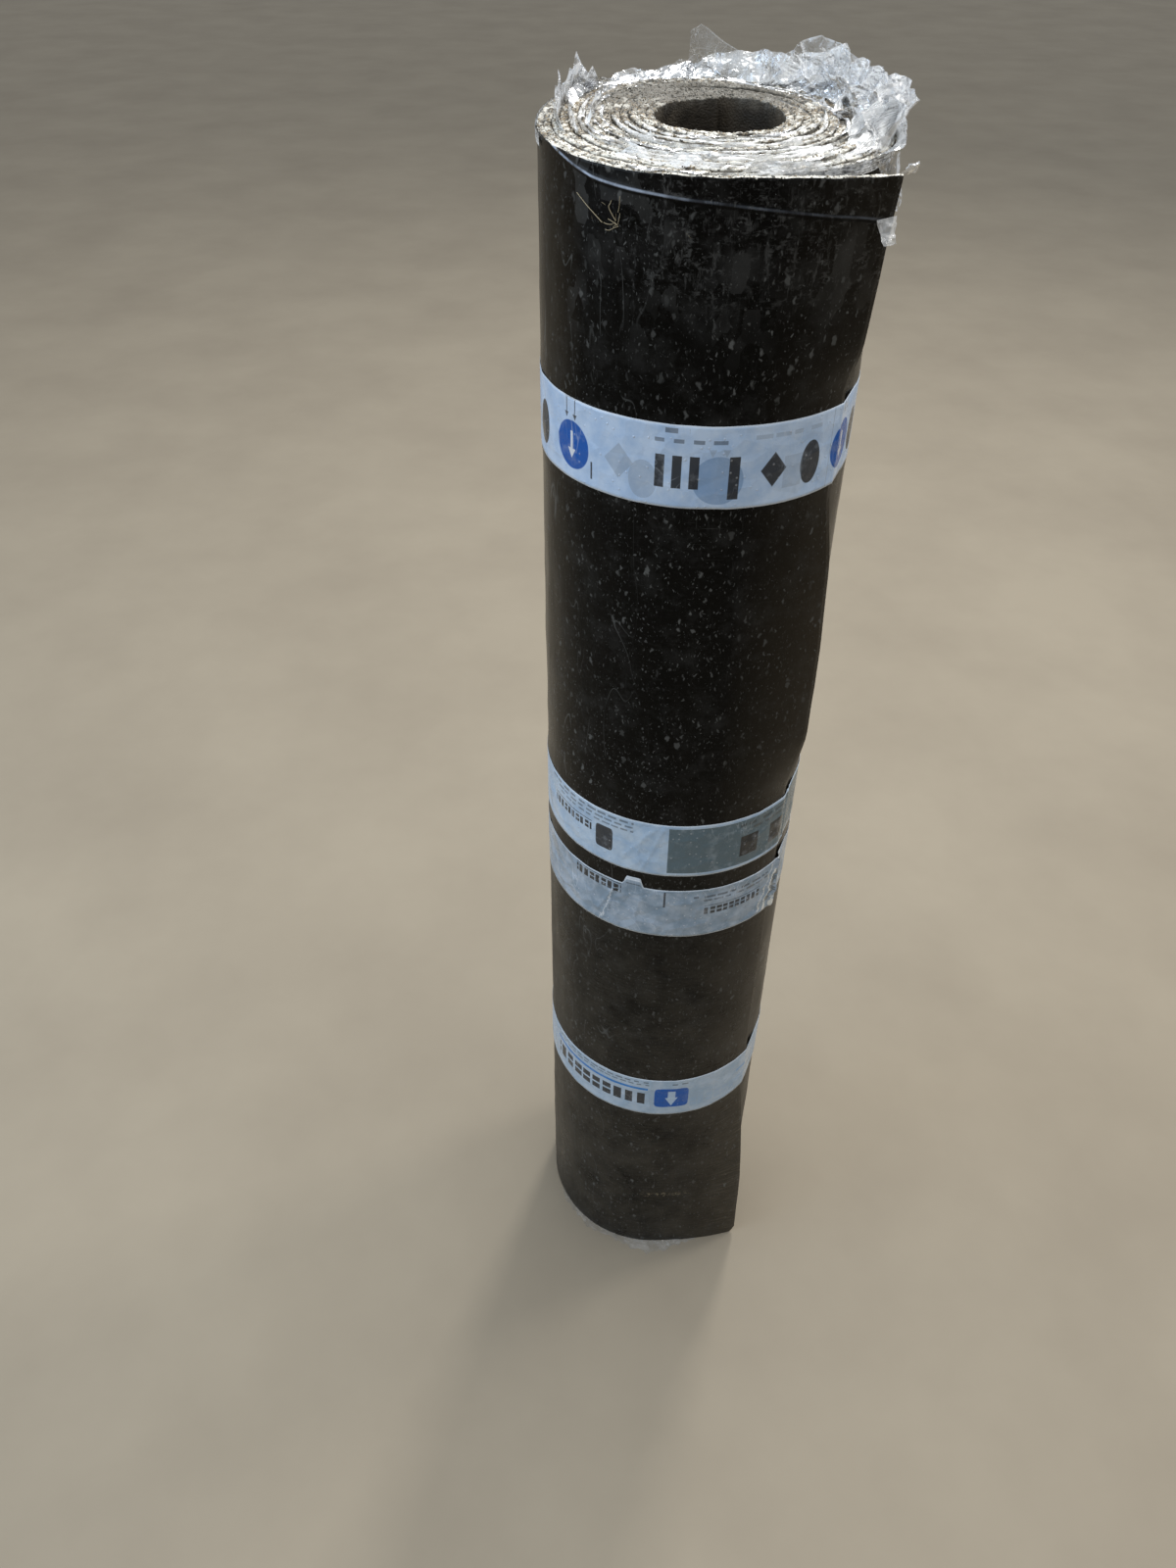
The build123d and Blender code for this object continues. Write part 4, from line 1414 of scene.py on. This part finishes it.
print("straws and loose film")
strawPiece = makeStraws()

# torn scraps of film at the free edge
scrapShape = {"columns": 40, "rows": 26, "offSheet": 0.0025, "milk": 0.5}
looseFilms = [
    # name, back, height, along, rising, size, curl, seed, finish
    ("flapCurl", 0.006, 0.9785, (-0.8, -0.6, 0), (0.0, -0.1, -0.99), (0.0138, 0.0148), 1.0, 68, "sheer"),
    ("flapNub", 0.001, 0.9995, (0.6, 0.8, 0), (0.0, -0.1, 0.99), (0.0125, 0.012), 2.6, 66, "film"),
]


def makeLooseFilm(name, back, height, along, rising, size, curl, seed, finish):
    # a torn scrap: how far back from the free edge, its height, its two directions, its size
    centre = outerSurface(winding["freeEndTurn"] - back / (2 * math.pi * endRadius), height,
                          -scrapShape["offSheet"])
    across = np.linspace(-0.5, 0.5, scrapShape["columns"])[:, None] * size[0]
    up = np.linspace(0, 1, scrapShape["rows"])[None] * size[1]
    u, v = across + 0 * up, up + 0 * across
    taper = 1 - 0.35 * (v / size[1]) + 0.2 * creases(v, 0 * v, 90.0, seed)
    bend = curl * (v / size[1]) ** 1.5
    stir = 0.2 * min(size)
    lift = size[1] * 0.4 * np.sin(bend)
    lift = lift + stir * creases(u, v, 3.0 / min(size), seed + 1) * np.clip(v / 0.005, 0, 1)
    spots = (centre + (u * taper)[..., None] * np.array(along)
             + (v * np.cos(bend * 0.6))[..., None] * np.array(rising)
             + lift[..., None] * np.cross(along, rising))
    piece = gridMesh(name, spots)
    setPointValues(piece, "milk", np.full(u.shape, scrapShape["milk"]))
    piece.data.materials.append(sheerMaterial if finish == "sheer" else filmMaterial)
    return piece


loosePieces = [makeLooseFilm(*film) for film in looseFilms]

# film that pokes out from under the roll and lies on the floor
footFilm = {
    "columns": 150,
    "rows": 12,
    "hidden": 0.005,    # how far it goes in under the roll
    "seed": 67,
    # angle and how far it reaches out on the floor, in mm
    "reach": [(-156, 1), (-148, 4), (-138, 5), (-128, 6), (-118, 4), (-108, 6), (-101, 11), (-94, 14),
              (-84, 10), (-72, 4), (-64, 1)],
}


def makeFootFilm():
    seed = footFilm["seed"]
    degrees = np.linspace(footFilm["reach"][-1][0], footFilm["reach"][0][0], footFilm["columns"])[:, None]
    out = np.linspace(0, 1, footFilm["rows"])[None]
    u = np.radians(degrees) * endRadius + 0 * out
    ragged = 1 + 0.35 * softNoise(onLine(u), 260.0, seed)
    length = out * (footFilm["hidden"] + byAngle(degrees, footFilm["reach"]) / 1000 * ragged)
    edge = outerSurface(winding["freeEndTurn"] + (degrees + 40) / 360, 0 * degrees + 0.001, 0 * degrees)
    start = np.hypot(edge[..., 0], edge[..., 1]) - footFilm["hidden"]
    z = 0.0005 + 0.0008 * np.abs(creases(u, length, 110.0, seed + 1)) * np.clip(length / 0.004, 0, 1)
    piece = gridMesh("footFilm", aroundAxis(start + length, np.radians(degrees), z))
    piece.data.materials.append(flatMaterial)
    return piece


footFilmPiece = makeFootFilm()

# stage: camera, light, floor
cameraView = {
    "lens": 27.0,
    "pitch": 0.70012355,
    "roll": -0.00858364,
    "place": (-0.0686155, -0.7249157, 1.1416455),
}


def makeCamera():
    pitch, roll = cameraView["pitch"], cameraView["roll"]
    forward = Vector((0, math.cos(pitch), -math.sin(pitch)))
    right = Vector((1, 0, 0))
    down = Vector((0, -math.sin(pitch), -math.cos(pitch)))
    imageRight = math.cos(roll) * right + math.sin(roll) * down
    imageDown = -math.sin(roll) * right + math.cos(roll) * down
    data = bpy.data.cameras.new("viewCamera")
    data.lens = cameraView["lens"]
    data.sensor_width = 36.0
    camera = addPiece("viewCamera", data)
    turned = Matrix((imageRight, -imageDown, -forward)).transposed().to_4x4()
    camera.matrix_world = Matrix.Translation(cameraView["place"]) @ turned
    bpy.context.scene.camera = camera


lamps = [
    # name, place, aimed at, size, power, colour
    ("leftWindow", (-1.9, -0.5, 1.5), (0, 0, 0.6), (1.4, 1.8), 19.0, (0.66, 0.82, 1.0)),
    ("ceilingLamp", (0.3, 0.3, 3.2), (0, 0, 0.9), (2.0, 2.0), 39.0, (1.0, 0.98, 0.94)),
    ("backLamp", (0.8, 2.4, 3.1), (0, 0, 1.0), (0.45, 0.45), 50.0, (1.0, 0.98, 0.95)),
    ("sideLamp", (1.3, 0.7, 2.5), (0, 0, 1.0), (0.35, 0.35), 14.0, (1.0, 0.98, 0.95)),
]


def makeLamp(name, place, target, size, power, colour):
    data = bpy.data.lights.new(name, "AREA")
    data.shape = "RECTANGLE"
    data.size, data.size_y = size
    data.energy = power
    data.color = colour
    aim = (Vector(target) - Vector(place)).to_track_quat("-Z", "Y")
    addPiece(name, data).matrix_world = Matrix.Translation(place) @ aim.to_matrix().to_4x4()


floorLook = {"colour": (0.33, 0.285, 0.217), "worn": (0.285, 0.244, 0.185), "half": 30.0}


def makeFloor():
    half = floorLook["half"]
    mesh = bpy.data.meshes.new("studioFloor")
    corners = [(-half, -half, 0), (half, -half, 0), (half, half, 0), (-half, half, 0)]
    mesh.from_pydata(corners, [], [(0, 1, 2, 3)])
    material, tree, place = startMaterial("paleConcrete")
    cloud = noiseValue(tree, place.outputs["Object"], 3.0, 5.0, 0.6)
    colour = blendColour(tree, ramp(tree, cloud, 0.35, 0.7), floorLook["colour"], floorLook["worn"])
    mesh.materials.append(finishMaterial(material, addSurface(tree, colour, 0.85)))
    addPiece("studioFloor", mesh)


worldLook = {"colour": (0.92, 0.96, 1.0, 1), "strength": 0.55}


def makeWorld():
    world = bpy.data.worlds.new("softStudio")
    bpy.context.scene.world = world
    world.use_nodes = True
    tree = world.node_tree
    tree.nodes.clear()
    background = addNode(tree, "ShaderNodeBackground",
                         {"Color": worldLook["colour"], "Strength": worldLook["strength"]})
    addNode(tree, "ShaderNodeOutputWorld", {0: background.outputs[0]})


print("stage")
makeCamera()
makeWorld()
makeFloor()
for lamp in lamps:
    makeLamp(*lamp)
bpy.context.scene.view_settings.view_transform = "Standard"

# attach the new pieces to the root and hide the parts they stand in for
for piece in (outerTurnPiece, innerTurnsPiece, outerGrit, innerGrit):
    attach(piece, "root")
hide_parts("felt_roll")
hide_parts("felt_roll")
for name, piece in tapePieces.items():
    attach(piece, "root")
    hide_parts(name)
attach(endFilmPiece, "root")
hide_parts("end_film")
for piece in filmLobePieces + loosePieces + [footFilmPiece]:
    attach(piece, "root")
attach(strawPiece, "root")


def declareFilm(piece, longest):
    # prints the film's flat size: the film doesn't stretch, so its flat area is its surface; its width is the
    # mean one
    area = meshArea(piece)
    print("  ", piece.name, "flat", round(area / longest * 1000, 1), "x", round(longest * 1000), "mm")


ruffleLength = endFilm["columnLength"] * len(endFilmPiece.data.vertices) / endFilm["rows"]
declareFilm(endFilmPiece, ruffleLength)
for piece, lobe in zip(filmLobePieces, filmLobes):
    declareFilm(piece, math.radians(lobe[1]) * lobe[2])
for piece, film in zip(loosePieces, looseFilms):
    declareFilm(piece, film[5][1])
footSpan = math.radians(footFilm["reach"][-1][0] - footFilm["reach"][0][0]) * endRadius
declareFilm(footFilmPiece, footSpan)
